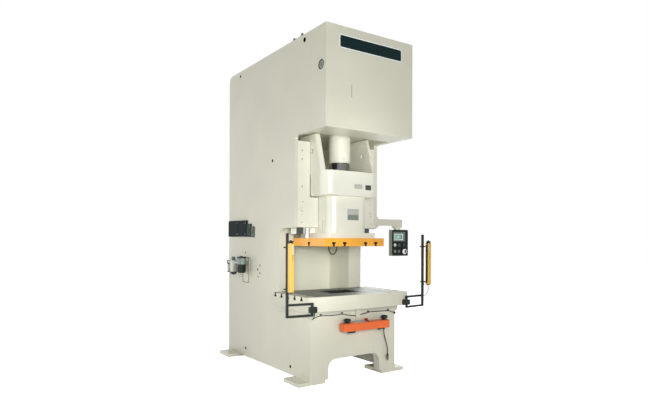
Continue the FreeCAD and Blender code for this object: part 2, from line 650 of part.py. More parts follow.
def base_box():
    """The base's front plate with its arch, and the bed plate that it carries."""
    front = new_body()
    edge = "arch_half"
    arch = [
        ("-inner_half", "foot_thickness"), ("-" + edge, "foot_thickness"),
        ("-" + edge, "arch_top"), (edge, "arch_top"), (edge, "foot_thickness"),
        ("inner_half", "foot_thickness"), ("inner_half", "base_top"), ("-inner_half", "base_top"),
    ]
    pad(front, outline(front, "XZ_Plane", "-front_face", arch), "base_plate", backwards=True)
    soften(front, "arch_round", either(edge_at("y", x="-arch_half", z="arch_top"),
                                       edge_at("y", x="arch_half", z="arch_top")))
    bed = new_body()
    skirt = "base_top - 12"
    reach = "bed_half"
    bed_profile = [
        ("-half_span", "base_top"), ("half_span", "base_top"), ("half_span + bed_lip", "base_top + bed_rise"),
        (reach, "base_top + bed_slope"), (reach, "bolster_low"), ("-" + reach, "bolster_low"),
        ("-" + reach, "base_top + bed_slope"), ("-half_span - bed_lip", "base_top + bed_rise"),
    ]
    pad(bed, outline(bed, "XZ_Plane", "-front_face", bed_profile), "column_depth", backwards=True)
    hole = outline(bed, "XY_Plane", "bolster_low", rectangle(
        "-drop_width / 2", "drop_width / 2", "press_axis - drop_depth / 2", "press_axis + drop_depth / 2"))
    pocket(bed, hole, "bed_thickness")
    strap = block(("strap_left", "strap_right"), ("station_rear", "front_face"),
                  ("station_low + 10", "bolster_low - 15"))
    passage = block(("strap_left - 5", "strap_right + 5"), ("front_face - cable_room", "front_face"),
                    ("cable_way - cable_room", "cable_way + cable_room"))
    return node(fused(front, bed, cut(strap, passage)), "base_box")


base_box()


def column_box():
    """The two columns beside the throat, and the wall behind it."""
    front = "front_face + column_depth"
    wall = "front_face + back_wall_depth"
    parts = []
    for side in (-1, 1):
        parts.append(block(span(side, "column_half", "inner_half"), (front, front + " + column_wall"),
                           ("bolster_low", "deck_low")))
        parts.append(block(span(side, "column_half", "column_half + column_wall"),
                           (front + " + column_wall", wall), ("bolster_low", "deck_low")))
    back = block(("-inner_half", "inner_half"), (wall, wall + " + column_wall"),
                 ("foot_thickness", "total_height - deck_thickness"))
    bores = [
        drum("y", "shaft_radius + bush_wall", ("0", wall + " - 1", "shaft_height"), "column_wall + 2"),
        drum("y", "pinion_journal + bush_wall", ("0", wall + " - 1", "pinion_height"), "column_wall + 2"),
    ]
    return node(cut(fused(back, *parts), *bores), "column_box")


column_box()


def crown_plates():
    """The crown's front and middle bearing plates, its inner floor and its top."""
    wall = "front_face + back_wall_depth"
    middle_front = "front_face + middle_plate_depth"
    front = block(("-inner_half", "inner_half"), ("front_face", "front_face + crown_plate"),
                  ("crown_low", "total_height - deck_thickness"))
    middle_plate = block(("-inner_half", "inner_half"), (middle_front, middle_front + " + crown_plate"),
                         ("deck_top", "total_height - deck_thickness"))
    floor = block(("-inner_half", "inner_half"), ("front_face + crown_plate", wall), ("deck_low", "deck_top"))
    roof = block(("-inner_half", "inner_half"), ("front_face", "rear_face - crown_round"),
                 ("total_height - deck_thickness", "total_height"))
    bores = [
        drum("y", "shaft_radius + bush_wall", ("0", "front_face - 1", "shaft_height"),
             "middle_plate_depth + crown_plate + 2"),
        drum("y", "pinion_journal + bush_wall", ("0", middle_front + " - 1", "pinion_height"),
             "crown_plate + 2"),
        drum("z", "guide_radius + 0.3", ("0", "press_axis", "deck_low - 1"), "deck_thickness + 2"),
    ]
    rolled = []
    for inset in ("0", "deck_thickness"):
        corner = block(("-inner_half", "inner_half"),
                       ("rear_face - crown_round", f"rear_face - 20 - {inset}"),
                       ("total_height - crown_round", f"total_height - {inset}"))
        edge = edge_at("x", y=f"rear_face - 20 - {inset}", z=f"total_height - {inset}")
        rolled.append(rounded(corner, f"crown_round - 25 - {inset}", edge))
    return node(cut(fused(front, middle_plate, floor, roof, cut(*rolled)), *bores), "crown_plates")


crown_plates()


def rear_plate():
    """The plate that closes the frame at the back, with its openings and the motor's shelf."""
    inner = "rear_face - panel_depth - 4"
    arch = [
        ("-inner_half", "foot_thickness"), ("-arch_half", "foot_thickness"),
        ("-arch_half", "arch_top"), ("arch_half", "arch_top"), ("arch_half", "foot_thickness"),
        ("inner_half", "foot_thickness"), ("inner_half", "total_height - crown_round"),
        ("-inner_half", "total_height - crown_round"),
    ]
    openings = [
        rectangle(f"-{half} + panel_lap", f"{half} - panel_lap", f"{low} + panel_lap", f"{high} - panel_lap")
        for half, low, high in (("guard_half", "guard_low", "guard_high"),
                                ("door_half", "door_low", "door_high"))]
    body = new_body()
    profile = outline(body, "XZ_Plane", f"-({inner} - rear_plate_depth)", arch, *openings)
    pad(body, profile, "rear_plate_depth", backwards=True)
    soften(body, "arch_round", either(edge_at("y", x="-arch_half", z="arch_top"),
                                      edge_at("y", x="arch_half", z="arch_top")))
    shelf_front = "front_face + wheel_depth + wheel_width + 40"
    shelf = block(("-inner_half", "inner_half"), (shelf_front, f"{inner} - rear_plate_depth"),
                  ("motor_height - 230", "motor_height - 200"))
    ribs = [block((f"{x} - 10", f"{x} + 10"), (shelf_front, f"{inner} - rear_plate_depth"),
                  ("motor_height - 300", "motor_height - 230")) for x in (-300, 300)]
    lugs = []
    for height in HINGE_HEIGHTS:
        lugs.append(block(("hinge_axis - 22", "hinge_axis + 4"), (inner, "hinge_plane + 6"),
                          (f"{height} - 25", f"{height} - 1")))
        lugs.append(drum("z", "hinge_pin", ("hinge_axis", "hinge_plane", f"{height} - 2"), "62"))
    return node(fused(body, shelf, *ribs, *lugs), "rear_plate")


HINGE_HEIGHTS = ("door_low + 120", "door_high - 180")
rear_plate()


def foot_plates():
    """Four foot plates with their anchor-bolt holes."""
    feet = []
    for side in (-1, 1):
        for rear in (False, True):
            front = "rear_face - foot_length" if rear else "front_face"
            bolt_y = "rear_face - anchor_inset" if rear else "front_face + anchor_inset"
            slab = block(span(side, "foot_inner", "foot_span / 2"), (front, front + " + foot_length"),
                         ("0", "foot_thickness"))
            corner = either(edge_at("z", x=f"{side} * foot_span / 2"))
            soft = rounded(slab, "foot_round", corner)
            hole = drum("z", "anchor_bore / 2", (f"{side} * anchor_half_x", bolt_y, "-1"),
                        "foot_thickness + 2")
            feet.append(cut(soft, hole))
    return node(group(*feet), "foot_plates")


foot_plates()


def crown_cover():
    """The box-shaped cover on the front of the crown."""
    body = new_body()
    front = "front_face - cover_reach"
    face = rectangle("-half_span", "half_span", "crown_low", "total_height")
    pad(body, outline(body, "XZ_Plane", f"-({front})", face), "cover_reach", backwards=True)
    hollow = rectangle("-half_span + cover_wall", "half_span - cover_wall",
                       "crown_low + cover_wall", "total_height - cover_wall")
    pocket(body, outline(body, "XZ_Plane", "-front_face", hollow), "cover_reach - cover_wall",
           backwards=True)
    soften(body, "cover_round", either(edge_at("z", y=front), edge_at("x", y=front)))
    soften(body, "cover_seam", either(edge_at("z", x="-half_span", y="front_face"),
                                      edge_at("z", x="half_span", y="front_face")))
    sign = rectangle("-sign_half", "sign_half", "sign_low", "sign_high")
    pocket(body, outline(body, "XZ_Plane", f"-({front})", sign), "sign_depth")
    mark = rectangle("mark_left", "mark_left + mark_width", "mark_low", "mark_high")
    pocket(body, outline(body, "XZ_Plane", f"-({front})", mark), "mark_depth")
    eyelet = ("plug_plane", "plug_height", "plug_bore / 2")
    pocket(body, outline(body, "YZ_Plane", "-half_span", eyelet), "cover_wall / 2", backwards=True)
    return node(body, "crown_cover")


crown_cover()


# ---------------------------------------------------------------- bolster

def bolster():
    """The bolster plate with its T-slots and drop hole."""
    body = new_body()
    rear = "bolster_front + bolster_depth"
    top = rectangle("-bolster_width / 2", "bolster_width / 2", "bolster_front", rear)
    pad(body, outline(body, "XY_Plane", "bolster_low", top), "bolster_thickness")
    soften(body, "bolster_round",
           either(edge_at("x", z="bolster_top"), edge_at("y", z="bolster_top"), along("z")))
    for step in range(-2, 3):
        middle_line = f"press_axis + {step} * slot_pitch"
        profile = tee(middle_line, "bolster_top", -1)
        pocket(body, outline(body, "YZ_Plane", "-bolster_width / 2 - 1", profile), "bolster_width + 2",
               backwards=True)
    hole = rectangle("-drop_width / 2", "drop_width / 2",
                     "press_axis - drop_depth / 2", "press_axis + drop_depth / 2")
    pocket(body, outline(body, "XY_Plane", "bolster_top", hole), "bolster_thickness")
    return node(body, "bolster")


def tee(centre, face, inwards):
    """The outline of a T-slot cut into a face, centred on a line; inwards is -1 for down."""
    neck_end = f"{face} + {inwards} * slot_neck_depth"
    head_end = f"{face} + {inwards} * (slot_neck_depth + slot_head_depth)"
    outside = f"{face} - {inwards} * 1"
    neck_left, neck_right = f"{centre} - slot_neck / 2", f"{centre} + slot_neck / 2"
    head_left, head_right = f"{centre} - slot_head / 2", f"{centre} + slot_head / 2"
    return [(neck_left, outside), (neck_right, outside), (neck_right, neck_end), (head_right, neck_end),
            (head_right, head_end), (head_left, head_end), (head_left, neck_end), (neck_left, neck_end)]


bolster()


# ---------------------------------------------------------------- slide and its guides

def gib(side):
    """One front gib: an L-shaped plate between the side plate and the slide."""
    body = new_body()
    edge, lower_edge, outer = (f"{side} * ({name})" for name in ("gib_half", "gib_lower_half", "inner_half"))
    shape = [(outer, "gib_low"), (lower_edge, "gib_low"), (lower_edge, "gib_step"), (edge, "gib_step"),
             (edge, "gib_top"), (outer, "gib_top")]
    front = "front_face + jaw_depth"
    pad(body, outline(body, "XZ_Plane", f"-({front})", shape), "gib_thickness", backwards=True)
    return body


node(group(gib(-1), gib(1)), "gibs")


def gib_bolts():
    """Socket-head screws that hold the gibs, and the adjusting screws in their lower parts."""
    screws = []
    face = "front_face + jaw_depth"
    for side in (-1, 1):
        for height, offset, radius in GIB_SCREWS:
            start = (f"{side} * {offset}", face + " - screw_rise", height)
            head = drum("y", radius, start, "screw_rise")
            socket = drum("y", f"{radius} * 0.5", (start[0], face + " - screw_rise - 1", height),
                          "screw_rise - 1")
            screws.append(cut(head, socket))
    return node(group(*screws), "gib_bolts")


GIB_SCREWS = [("2592", 500, 15), ("2494", 500, 15), ("2182", 500, 15), ("2008", 490, 10),
              ("1900", 500, 10), ("1860", 506, 10), ("1770", 506, 12)]
gib_bolts()


def rear_guides():
    """The fixed guide blocks behind the slide's wings."""
    front = "wing_rear + liner_thickness + guide_gap"
    blocks = []
    for side in (-1, 1):
        near, far = span(side, "wing_half - liner_width", "inner_half")
        base = block((near, far), (front, "front_face + column_depth"), ("gib_low", "deck_low"))
        blocks.append(rounded(base, "guide_round", edge_at("x", y=front, z="gib_low")))
    return node(group(*blocks), "rear_guides")


rear_guides()


def slide():
    """The slide casting: flange, lower block, upper housing, ears and guide wings."""
    body = new_body()
    flange_low = "slide_low + plate_thickness"
    neck_low = flange_low + " + flange_thickness"
    flange = rectangle("-flange_half", "flange_half", "flange_front", "front_face + 640")
    pad(body, outline(body, "XY_Plane", flange_low, flange), "flange_thickness")
    soften(body, "flange_round", edge_at("z", y="flange_front"))
    neck = rectangle("-neck_half", "neck_half", "neck_front", "slide_rear")
    pad(body, outline(body, "XY_Plane", neck_low, neck), f"housing_low + 20 - ({neck_low})")
    soften(body, "neck_round", either(edge_at("z", x="-neck_half", y="neck_front"),
                                      edge_at("z", x="neck_half", y="neck_front")))
    housing = rectangle("-housing_half", "housing_half", "housing_front", "slide_rear")
    pad(body, outline(body, "XY_Plane", "housing_low", housing), "housing_top - housing_low")
    soften(body, "housing_round", either(edge_at("z", x="-housing_half", y="housing_front"),
                                         edge_at("z", x="housing_half", y="housing_front")))
    soften(body, "housing_edge", lower_rim)
    lower_wings = rectangle("-wing_half", "wing_half", "wing_front", "wing_rear")
    pad(body, outline(body, "XY_Plane", "wing_low", lower_wings), "housing_low + 60 - wing_low")
    left, right = (rectangle(*span(side, "housing_half - ear_wall", "wing_half"), "wing_front", "wing_rear")
                   for side in (-1, 1))
    pad(body, outline(body, "XY_Plane", "housing_low", left, right), "wing_top - housing_low")
    for side in (-1, 1):
        groove = rectangle(*span(side, "neck_half", "wing_half + 1"),
                           "front_face + jaw_depth - 8", "wing_front")
        groove_top = "gib_step + stroke + shut_travel + 15"
        pocket(body, outline(body, "XY_Plane", groove_top, groove), f"{groove_top} - housing_low + 1")
    well_half = "neck_half - 15"
    well = rectangle("-" + f"({well_half})", well_half, "housing_front + 90", "slide_rear - 40")
    pocket(body, outline(body, "XY_Plane", "housing_top", well), "housing_top - well_floor")
    seat = ("0", "press_axis", "plunger_radius + seat_fit")
    pocket(body, outline(body, "XY_Plane", "well_floor", seat), "plunger_seat")
    window = rectangle("window_left", "window_left + window_width", "window_low", "window_low + window_tall")
    pocket(body, outline(body, "XZ_Plane", "-(housing_front)", window), "window_depth")
    slit = rectangle("slit_plane - slit_width / 2", "slit_plane + slit_width / 2", "slit_low", "slit_high")
    for side in (-1, 1):
        pocket(body, outline(body, "YZ_Plane", f"{side} * neck_half", slit), "slit_depth", backwards=side < 0)
    manifold = rectangle("manifold_left", "manifold_right", "manifold_front", "manifold_rear")
    pad(body, outline(body, "XY_Plane", flange_low, manifold), "manifold_tall")
    return node(fused(body, slide_ear(-1), slide_ear(1)), "slide")


def slide_ear(side):
    """One upright ear on the slide's housing, its front outer edge rounded off."""
    body = new_body()
    near, _ = span(side, "housing_half - ear_wall", "housing_half")
    shape = [("ear_foot_front", "housing_top - 5"), ("slide_rear", "housing_top - 5"),
             ("slide_rear", "ear_top"), ("ear_head_front", "ear_top")]
    pad(body, outline(body, "YZ_Plane", near, shape), "ear_wall")

    def sloping(edge):
        box = edge.BoundBox
        outer = abs(box.XMin - side * size("housing_half")) < 0.01 and box.XLength < 0.01
        return outer and box.YLength > 50 and box.ZLength > 300
    soften(body, "ear_round", sloping)
    cross_hole = ("press_axis", "ear_bore_height", "ear_bore / 2")
    pocket(body, outline(body, "YZ_Plane", f"{side} * housing_half", cross_hole), "ear_wall",
           backwards=side < 0)
    return body


def lower_rim(edge):
    """The outer edges round the underside of the slide's upper housing."""
    box = edge.BoundBox
    level = abs(box.ZMin - size("housing_low")) < 0.01 and box.ZLength < 0.01
    at_front = box.YMin < size("neck_front") - 1
    at_side = max(abs(box.XMin), abs(box.XMax)) > size("housing_half") - 1 and box.YLength > 1
    return level and (at_front or at_side)


slide()


def slide_plate():
    """The slide's face plate with T-slots open downwards."""
    body = new_body()
    rear = "plate_front + plate_depth"
    face = rectangle("-plate_half", "plate_half", "plate_front", rear)
    pad(body, outline(body, "XY_Plane", "slide_low", face), "plate_thickness")
    soften(body, "4", along("z"))
    for step in (-2, -1, 1, 2):
        profile = tee(f"{step} * plate_slot_pitch", "slide_low", 1)
        pocket(body, outline(body, "XZ_Plane", "-(plate_front - 1)", profile), "plate_depth + 2")
    cross = tee("press_axis", "slide_low", 1)
    for side in (-1, 1):
        start = f"{side} * (plate_half + 1)"
        pocket(body, outline(body, "YZ_Plane", start, cross), "plate_half - plate_slot_pitch + 1",
               backwards=side < 0)
    seat = ("0", "press_axis", "shank_bush / 2 + seat_fit")
    pocket(body, outline(body, "XY_Plane", "slide_low", seat), "shank_depth", backwards=True)
    return node(body, "slide_plate")


def shank_bush():
    """The hardened bush in the slide plate that takes the punch's shank."""
    inner, outer, top = "shank_bore / 2", "shank_bush / 2", "slide_low + shank_depth"
    body = turned("z", [(inner, "slide_low"), (outer, "slide_low"), (outer, top), (inner, top)])
    place(body, y="press_axis")
    return node(body, "shank_bush")


slide_plate()
shank_bush()


def slide_liners():
    """Hardened wear strips on the front and rear of the slide's wings, and its two stop posts."""
    flange_low = "slide_low + plate_thickness"
    strips = []
    for side in (-1, 1):
        across = span(side, "wing_half - liner_width", "wing_half")
        for low, high in (("wing_front - liner_thickness", "wing_front"),
                          ("wing_rear", "wing_rear + liner_thickness")):
            strips.append(block(across, (low, high), ("wing_low", "wing_top")))
    posts = [drum("z", "stop_radius", (f"{side} * stop_reach", "wing_front - stop_radius", flange_low),
                  f"stop_top - ({flange_low})") for side in (-1, 1)]
    return node(group(*strips, *posts), "slide_liners")


slide_liners()


def plunger():
    """The ground steel plunger, seated in the slide."""
    low = "well_floor - plunger_seat"
    radius = "plunger_radius"
    body = turned("z", [("0", low), (radius, low), (radius, "crosshead_low"), ("0", "crosshead_low")])
    place(body, y="press_axis")
    return node(body, "plunger")


def clamp_nut():
    """The castellated clamp nut round the plunger where it enters the slide."""
    inner, outer = "plunger_radius + seat_fit", "nut_radius"
    low, high = "well_floor", "well_floor + nut_height"
    body = turned("z", [(inner, low), (outer, low), (outer, f"{high} - 6"), (f"{outer} - 6", high),
                        (inner, high)])
    place(body, y="press_axis")
    slots = []
    for turn in range(8):
        slot = block(("-nut_slot / 2", "nut_slot / 2"), ("nut_radius - 14", "nut_radius + 2"),
                     ("0", "nut_height + 1"))
        slot.Placement.Rotation = FreeCAD.Rotation(Z_WAY, 45 * turn + 10)
        angle = math.radians(45 * turn + 10)
        reach = "nut_radius - 14"
        place(slot, f"-({reach}) * {math.sin(angle):.5f} - nut_slot / 2 * {math.cos(angle):.5f}",
              f"press_axis + ({reach}) * {math.cos(angle):.5f} - nut_slot / 2 * {math.sin(angle):.5f}",
              f"{high} - 30")
        slots.append(slot)
    return node(cut(body, *slots), "clamp_nut")


plunger()
clamp_nut()


def crosshead():
    """The fork on top of the plunger that takes the wrist pin."""
    cheek_near = "rod_width / 2 + cheek_gap"
    foot = block(("-cheek_half", "cheek_half"),
                 (f"press_axis - ({cheek_near}) - cheek_wall", f"press_axis + {cheek_near} + cheek_wall"),
                 ("crosshead_low", "crosshead_low + foot_wall"))
    cheeks = []
    for side in (-1, 1):
        near, far = span(side, cheek_near, f"{cheek_near} + cheek_wall")
        cheek = block(("-cheek_half", "cheek_half"), (f"press_axis + {near}", f"press_axis + {far}"),
                      ("crosshead_low", "wrist_height + cheek_rise"))
        cheeks.append(cheek)
    slot = block(("-(throw + wrist_radius + 10)", "throw + wrist_radius + 10"),
                 ("press_axis - rod_width", "press_axis + rod_width"),
                 ("wrist_height - wrist_radius - 25", "wrist_height + wrist_radius + 25"))
    return node(cut(fused(foot, *cheeks), rounded(slot, "slot_round", along("y"))), "crosshead")


crosshead()


# ---------------------------------------------------------------- drive

def plunger_guide():
    """The cylindrical guide that hangs from the crown's inner floor."""
    inner = "plunger_radius + bush_wall"
    flange = "guide_radius + 55"
    body = turned("z", [
        (inner, "guide_low"), ("guide_radius - 6", "guide_low"), ("guide_radius", "guide_low + 6"),
        ("guide_radius", "deck_top"), (flange, "deck_top"), (flange, "deck_top + flange_wall"),
        (inner, "deck_top + flange_wall")])
    place(body, y="press_axis")
    return node(body, "plunger_guide")


plunger_guide()


def bearing_bushes():
    """Bronze bushes: three on the eccentric shaft, two on the pinion shaft, one round the plunger."""
    wall, middle_plate = "front_face + back_wall_depth", "front_face + middle_plate_depth"
    seats = [("front_face", "crown_plate", "shaft_radius", "shaft_height"),
             (middle_plate, "crown_plate", "shaft_radius", "shaft_height"),
             (wall, "column_wall", "shaft_radius", "shaft_height"),
             (middle_plate, "crown_plate", "pinion_journal", "pinion_height"),
             (wall, "column_wall", "pinion_journal", "pinion_height")]
    rings = []
    for start, length, radius, height in seats:
        inner, outer = f"{radius} + running_fit", f"{radius} + bush_wall - seat_fit"
        end = f"{start} + {length}"
        ring = turned("y", [(start, inner), (end, inner), (end, outer), (start, outer)])
        place(ring, z=height)
        rings.append(ring)
    inner, outer = "plunger_radius + running_fit", "plunger_radius + bush_wall - seat_fit"
    low, high = "guide_low + 8", "deck_top + flange_wall"
    ring = turned("z", [(inner, low), (outer, low), (outer, high), (inner, high)])
    place(ring, y="press_axis")
    rings.append(ring)
    return node(group(*rings), "bearing_bushes")


bearing_bushes()


def eccentric_shaft():
    """The eccentric shaft: journals in one line and the offset sheave that drives the rod."""
    front, rear = "front_face - 25", "front_face + back_wall_depth + column_wall + 20"
    radius = "shaft_radius"
    body = turned("y", [(front, "0"), (front, f"{radius} - journal_bevel"),
                        (f"{front} + journal_bevel", radius), (f"{rear} - journal_bevel", radius),
                        (rear, f"{radius} - journal_bevel"), (rear, "0")])
    sheave = outline(body, "XZ_Plane", "-(press_axis - rod_width / 2)", ("0", "throw", "sheave_radius"))
    pad(body, sheave, "rod_width", backwards=True)
    place(body, z="shaft_height")
    return node(body, "eccentric_shaft")


eccentric_shaft()


def connecting_rod():
    """The rod: a ring round the eccentric sheave above a small eye for the wrist pin."""
    body = new_body()
    start = "-(press_axis - rod_width / 2)"
    top = "shaft_height + throw"
    pad(body, outline(body, "XZ_Plane", start, ("0", top, "sheave_radius + ring_wall")), "rod_width",
        backwards=True)
    neck = [("-wrist_eye", "wrist_height"), ("wrist_eye", "wrist_height"),
            ("wrist_eye + 70", f"{top} - sheave_radius - 5"),
             ("-wrist_eye - 70", f"{top} - sheave_radius - 5")]
    pad(body, outline(body, "XZ_Plane", start, neck), "rod_width", backwards=True)
    pad(body, outline(body, "XZ_Plane", start, ("0", "wrist_height", "wrist_eye")), "rod_width",
        backwards=True)
    pocket(body, outline(body, "XZ_Plane", start, ("0", top, "sheave_radius + running_fit")), "rod_width")
    pocket(body, outline(body, "XZ_Plane", start, ("0", "wrist_height", "wrist_radius + seat_fit")),
           "rod_width")
    return node(body, "connecting_rod")


connecting_rod()
node(drum("y", "wrist_radius", ("0", "press_axis - rod_width / 2 - cheek_gap - cheek_wall", "wrist_height"),
          "rod_width + 2 * (cheek_gap + cheek_wall)"), "wrist_pin")


def toothed_face(teeth, first_angle):
    """The transverse face of an involute spur gear about the origin, in the XZ plane."""
    module = size("gear_module")
    pitch_radius = module * teeth / 2
    base_radius = pitch_radius * math.cos(math.radians(PRESSURE_ANGLE))
    half_tooth = math.pi / (2 * teeth) - TOOTH_PLAY / pitch_radius / 2

    def half_angle(radius):
        rolled = math.acos(min(1, base_radius / radius))
        nominal = math.radians(PRESSURE_ANGLE)
        return half_tooth + math.tan(nominal) - nominal - (math.tan(rolled) - rolled)

    radii = [pitch_radius - 1.25 * module, max(base_radius, pitch_radius - 0.5 * module),
             pitch_radius + 0.35 * module, pitch_radius + module]
    corners = []
    for tooth in range(teeth):
        centre = first_angle + 2 * math.pi * tooth / teeth
        flank = [(radius, half_angle(max(radius, base_radius))) for radius in radii]
        for radius, offset in flank:
            corners.append((radius, centre - offset))
        for radius, offset in reversed(flank):
            corners.append((radius, centre + offset))
    points = [FreeCAD.Vector(r * math.cos(a), 0, r * math.sin(a)) for r, a in corners]
    return Part.Face(Part.makePolygon(points + points[:1]))


PRESSURE_ANGLE = 20
TOOTH_PLAY = 0.8


def main_gear():
    """The main gear: involute teeth, a thinned web and six lightening holes."""
    width, bore = size("gear_width"), size("shaft_radius") + size("seat_fit")
    start = FreeCAD.Vector(0, size("front_face") + size("gear_depth"), 0)
    rim = size("gear_module") * size("gear_teeth") / 2 - 40
    blank = toothed_face(int(size("gear_teeth")), -math.pi / 2).extrude(FreeCAD.Vector(0, width, 0))
    recess = Part.makeCylinder(rim, 35, FreeCAD.Vector(), Y_WAY)
    recess = recess.cut(Part.makeCylinder(bore + 45, 35, FreeCAD.Vector(), Y_WAY))
    far_recess = recess.copy()
    far_recess.translate(FreeCAD.Vector(0, width - 35, 0))
    blank = blank.cut([recess, far_recess, Part.makeCylinder(bore, width, FreeCAD.Vector(), Y_WAY)])
    holes = []
    for turn in range(6):
        angle = math.radians(60 * turn)
        centre = (rim + bore + 45) / 2
        spot = FreeCAD.Vector(centre * math.cos(angle), 0, centre * math.sin(angle))
        holes.append(Part.makeCylinder(58, width, spot, Y_WAY))
    feature = doc.addObject("Part::Feature", "MainGear")
    feature.Shape = blank.cut(holes)
    feature.Placement = FreeCAD.Placement(start + FreeCAD.Vector(0, 0, size("shaft_height")),
                                          FreeCAD.Rotation())
    return node(feature, "main_gear")


def pinion_shaft():
    """The pinion shaft, with the pinion cut in one piece with it."""
    teeth = int(size("pinion_teeth"))
    width = size("gear_width") + 10
    start = size("front_face") + size("gear_depth") - 5
    toothed = toothed_face(teeth, math.pi / 2 + math.pi / teeth).extrude(FreeCAD.Vector(0, width, 0))
    toothed.translate(FreeCAD.Vector(0, start, 0))
    front = size("front_face") + size("middle_plate_depth") - 10
    rear = size("front_face") + size("wheel_depth") + size("wheel_width") + 140
    shaft = Part.makeCylinder(size("pinion_journal"), rear - front, FreeCAD.Vector(0, front, 0), Y_WAY)
    feature = doc.addObject("Part::Feature", "PinionShaft")
    feature.Shape = toothed.fuse(shaft).removeSplitter()
    feature.Placement = FreeCAD.Placement(FreeCAD.Vector(0, 0, size("pinion_height")), FreeCAD.Rotation())
    return node(feature, "pinion_shaft")


main_gear()
pinion_shaft()


def belt_grooves(rim_radius, start):
    """The stepped rim outline, front to rear, with one groove for each belt."""
    steps = []
    depth = f"{rim_radius} - belt_height - 2"
    for belt in range(int(size("belt_count"))):
        centre = f"{start} + belt_pitch * {belt + 1} - 6"
        near, far = f"{centre} - belt_width / 2 - 0.4", f"{centre} + belt_width / 2 + 0.4"
        steps += [(near, rim_radius), (near, depth), (far, depth), (far, rim_radius)]
    return steps


def flywheel():
    """The flywheel: grooved rim, thin web and long hub."""
    start, end = "front_face + wheel_depth", "front_face + wheel_depth + wheel_width"
    bore = "pinion_journal + running_fit"
    outer = "wheel_radius"
    rim_inner, hub = "wheel_radius - 70", "pinion_journal + 60"
    web_near, web_far = f"{start} + wheel_width / 2 - 22", f"{start} + wheel_width / 2 + 22"
    profile = [(start, outer)] + belt_grooves(outer, start) + [
        (end, outer), (end, rim_inner), (web_far, rim_inner), (web_far, hub), (f"{end} + 10", hub),
        (f"{end} + 10", bore), (f"{start} - 20", bore), (f"{start} - 20", hub), (web_near, hub),
        (web_near, rim_inner), (start, rim_inner)]
    wheel = turned("y", profile)
    place(wheel, z="pinion_height")
    holes = []
    for turn in range(6):
        angle = math.radians(60 * turn + 30)
        reach = "(wheel_radius - 70 + pinion_journal + 60) / 2"
        holes.append(drum("y", "wheel_hole", (f"{reach} * {math.cos(angle):.5f}", start,
                                      f"pinion_height + {reach} * {math.sin(angle):.5f}"), "wheel_width"))
    return node(cut(wheel, *holes), "flywheel")


flywheel()


def clutch():
    """The clutch and brake drum on the rear end of the pinion shaft."""
    start = "front_face + wheel_depth + wheel_width + 14"
    bore = "pinion_journal + seat_fit"
    steps = [(0, 0), (0.25, 0), (0.28, 12), (0.43, 12), (0.47, -24), (0.77, -30), (0.83, -100), (1, -108)]
    rim = [(f"{start} + {share} * drum_length", f"drum_radius + {rise}") for share, rise in steps]
    body = turned("y", [(start, bore), *rim, (f"{start} + drum_length", bore)])
    place(body, z="pinion_height")
    return node(body, "clutch")


clutch()


def motor():
    """The main motor: finned housing, end bells, terminal box and feet."""
    start = "front_face + wheel_depth + wheel_width + 40"
    end = f"{start} + motor_length"
    height = "motor_height"
    housing = drum("y", "motor_radius", ("0", start, height), "motor_length")
    front_bell = cone("y", "motor_radius * 0.7", "motor_radius", ("0", f"{start} - motor_bell", height),
                      "motor_bell")
    rear_bell = cone("y", "motor_radius", "motor_radius * 0.75", ("0", end, height), "motor_bell")
    fins = []
    for turn in range(1, 8):
        lift = f"motor_height + motor_radius * {math.cos(math.pi * turn / 8):.5f}"
        half = f"(motor_radius * {math.sin(math.pi * turn / 8):.5f} + 14)"
        fins.append(block((f"-{half}", half), (f"{start} + 25", f"{end} - 25"),
                          (f"{lift} - 3", f"{lift} + 3")))
    feet = block(("-motor_foot_half", "motor_foot_half"), (f"{start} + 60", f"{end} - 60"),
                 ("motor_height - 200", "motor_height - 100"))
    terminal_box = block(("motor_radius - 20", "motor_radius + 75"),
                         (f"{start} + 140", f"{start} + 140 + 2 * motor_box_half"),
                         ("motor_height - motor_box_half", "motor_height + motor_box_half"))
    shaft = drum("y", "motor_shaft", ("0", f"{start} - 200", height), "180")
    return node(fused(housing, front_bell, rear_bell, *fins, feet, terminal_box, shaft), "motor")


def motor_pulley():
    """The grooved pulley on the motor's shaft."""
    start, end = "front_face + wheel_depth", "front_face + wheel_depth + wheel_width"
    bore = "motor_shaft + running_fit"
    body = turned("y", [(start, "pulley_radius")] + belt_grooves("pulley_radius", start)
                  + [(end, "pulley_radius"), (end, bore), (start, bore)])
    place(body, z="motor_height")
    return node(body, "motor_pulley")


motor()
motor_pulley()


def belt_loop(offset):
    """The region inside a belt line that runs round both pulleys, offset inwards from their rims."""
    large, small = size("wheel_radius") - offset, size("pulley_radius") - offset
    top, low = size("pinion_height"), size("motor_height")
    lean = math.asin((large - small) / (top - low))
    reach_x, reach_z = math.cos(lean), math.sin(lean)
    corners = [FreeCAD.Vector(large * reach_x, 0, top - large * reach_z),
               FreeCAD.Vector(small * reach_x, 0, low - small * reach_z)]
    mirror = [FreeCAD.Vector(-p.x, 0, p.z) for p in corners]
    edges = [
        Part.LineSegment(corners[0], corners[1]),
        Part.Arc(corners[1], FreeCAD.Vector(0, 0, low - small), mirror[1]),
        Part.LineSegment(mirror[1], mirror[0]),
        Part.Arc(mirror[0], FreeCAD.Vector(0, 0, top + large), corners[0]),
    ]
    return Part.Face(Part.Wire([edge.toShape() for edge in edges]))


def belts():
    """The V-belts between the motor pulley and the flywheel."""
    width, start = size("belt_width"), size("front_face") + size("wheel_depth")
    ring = belt_loop(2).cut(belt_loop(2 + size("belt_height") - 0.4))
    loops = []
    for belt in range(int(size("belt_count"))):
        loop = ring.extrude(FreeCAD.Vector(0, width, 0))
        loop.translate(FreeCAD.Vector(0, start + size("belt_pitch") * (belt + 1) - 6 - width / 2, 0))
        loops.append(loop)
    feature = doc.addObject("Part::Feature", "Belts")
    feature.Shape = Part.makeCompound(loops)
    return node(feature, "v_belts")


belts()


# ---------------------------------------------------------------- crown fittings and rear panels

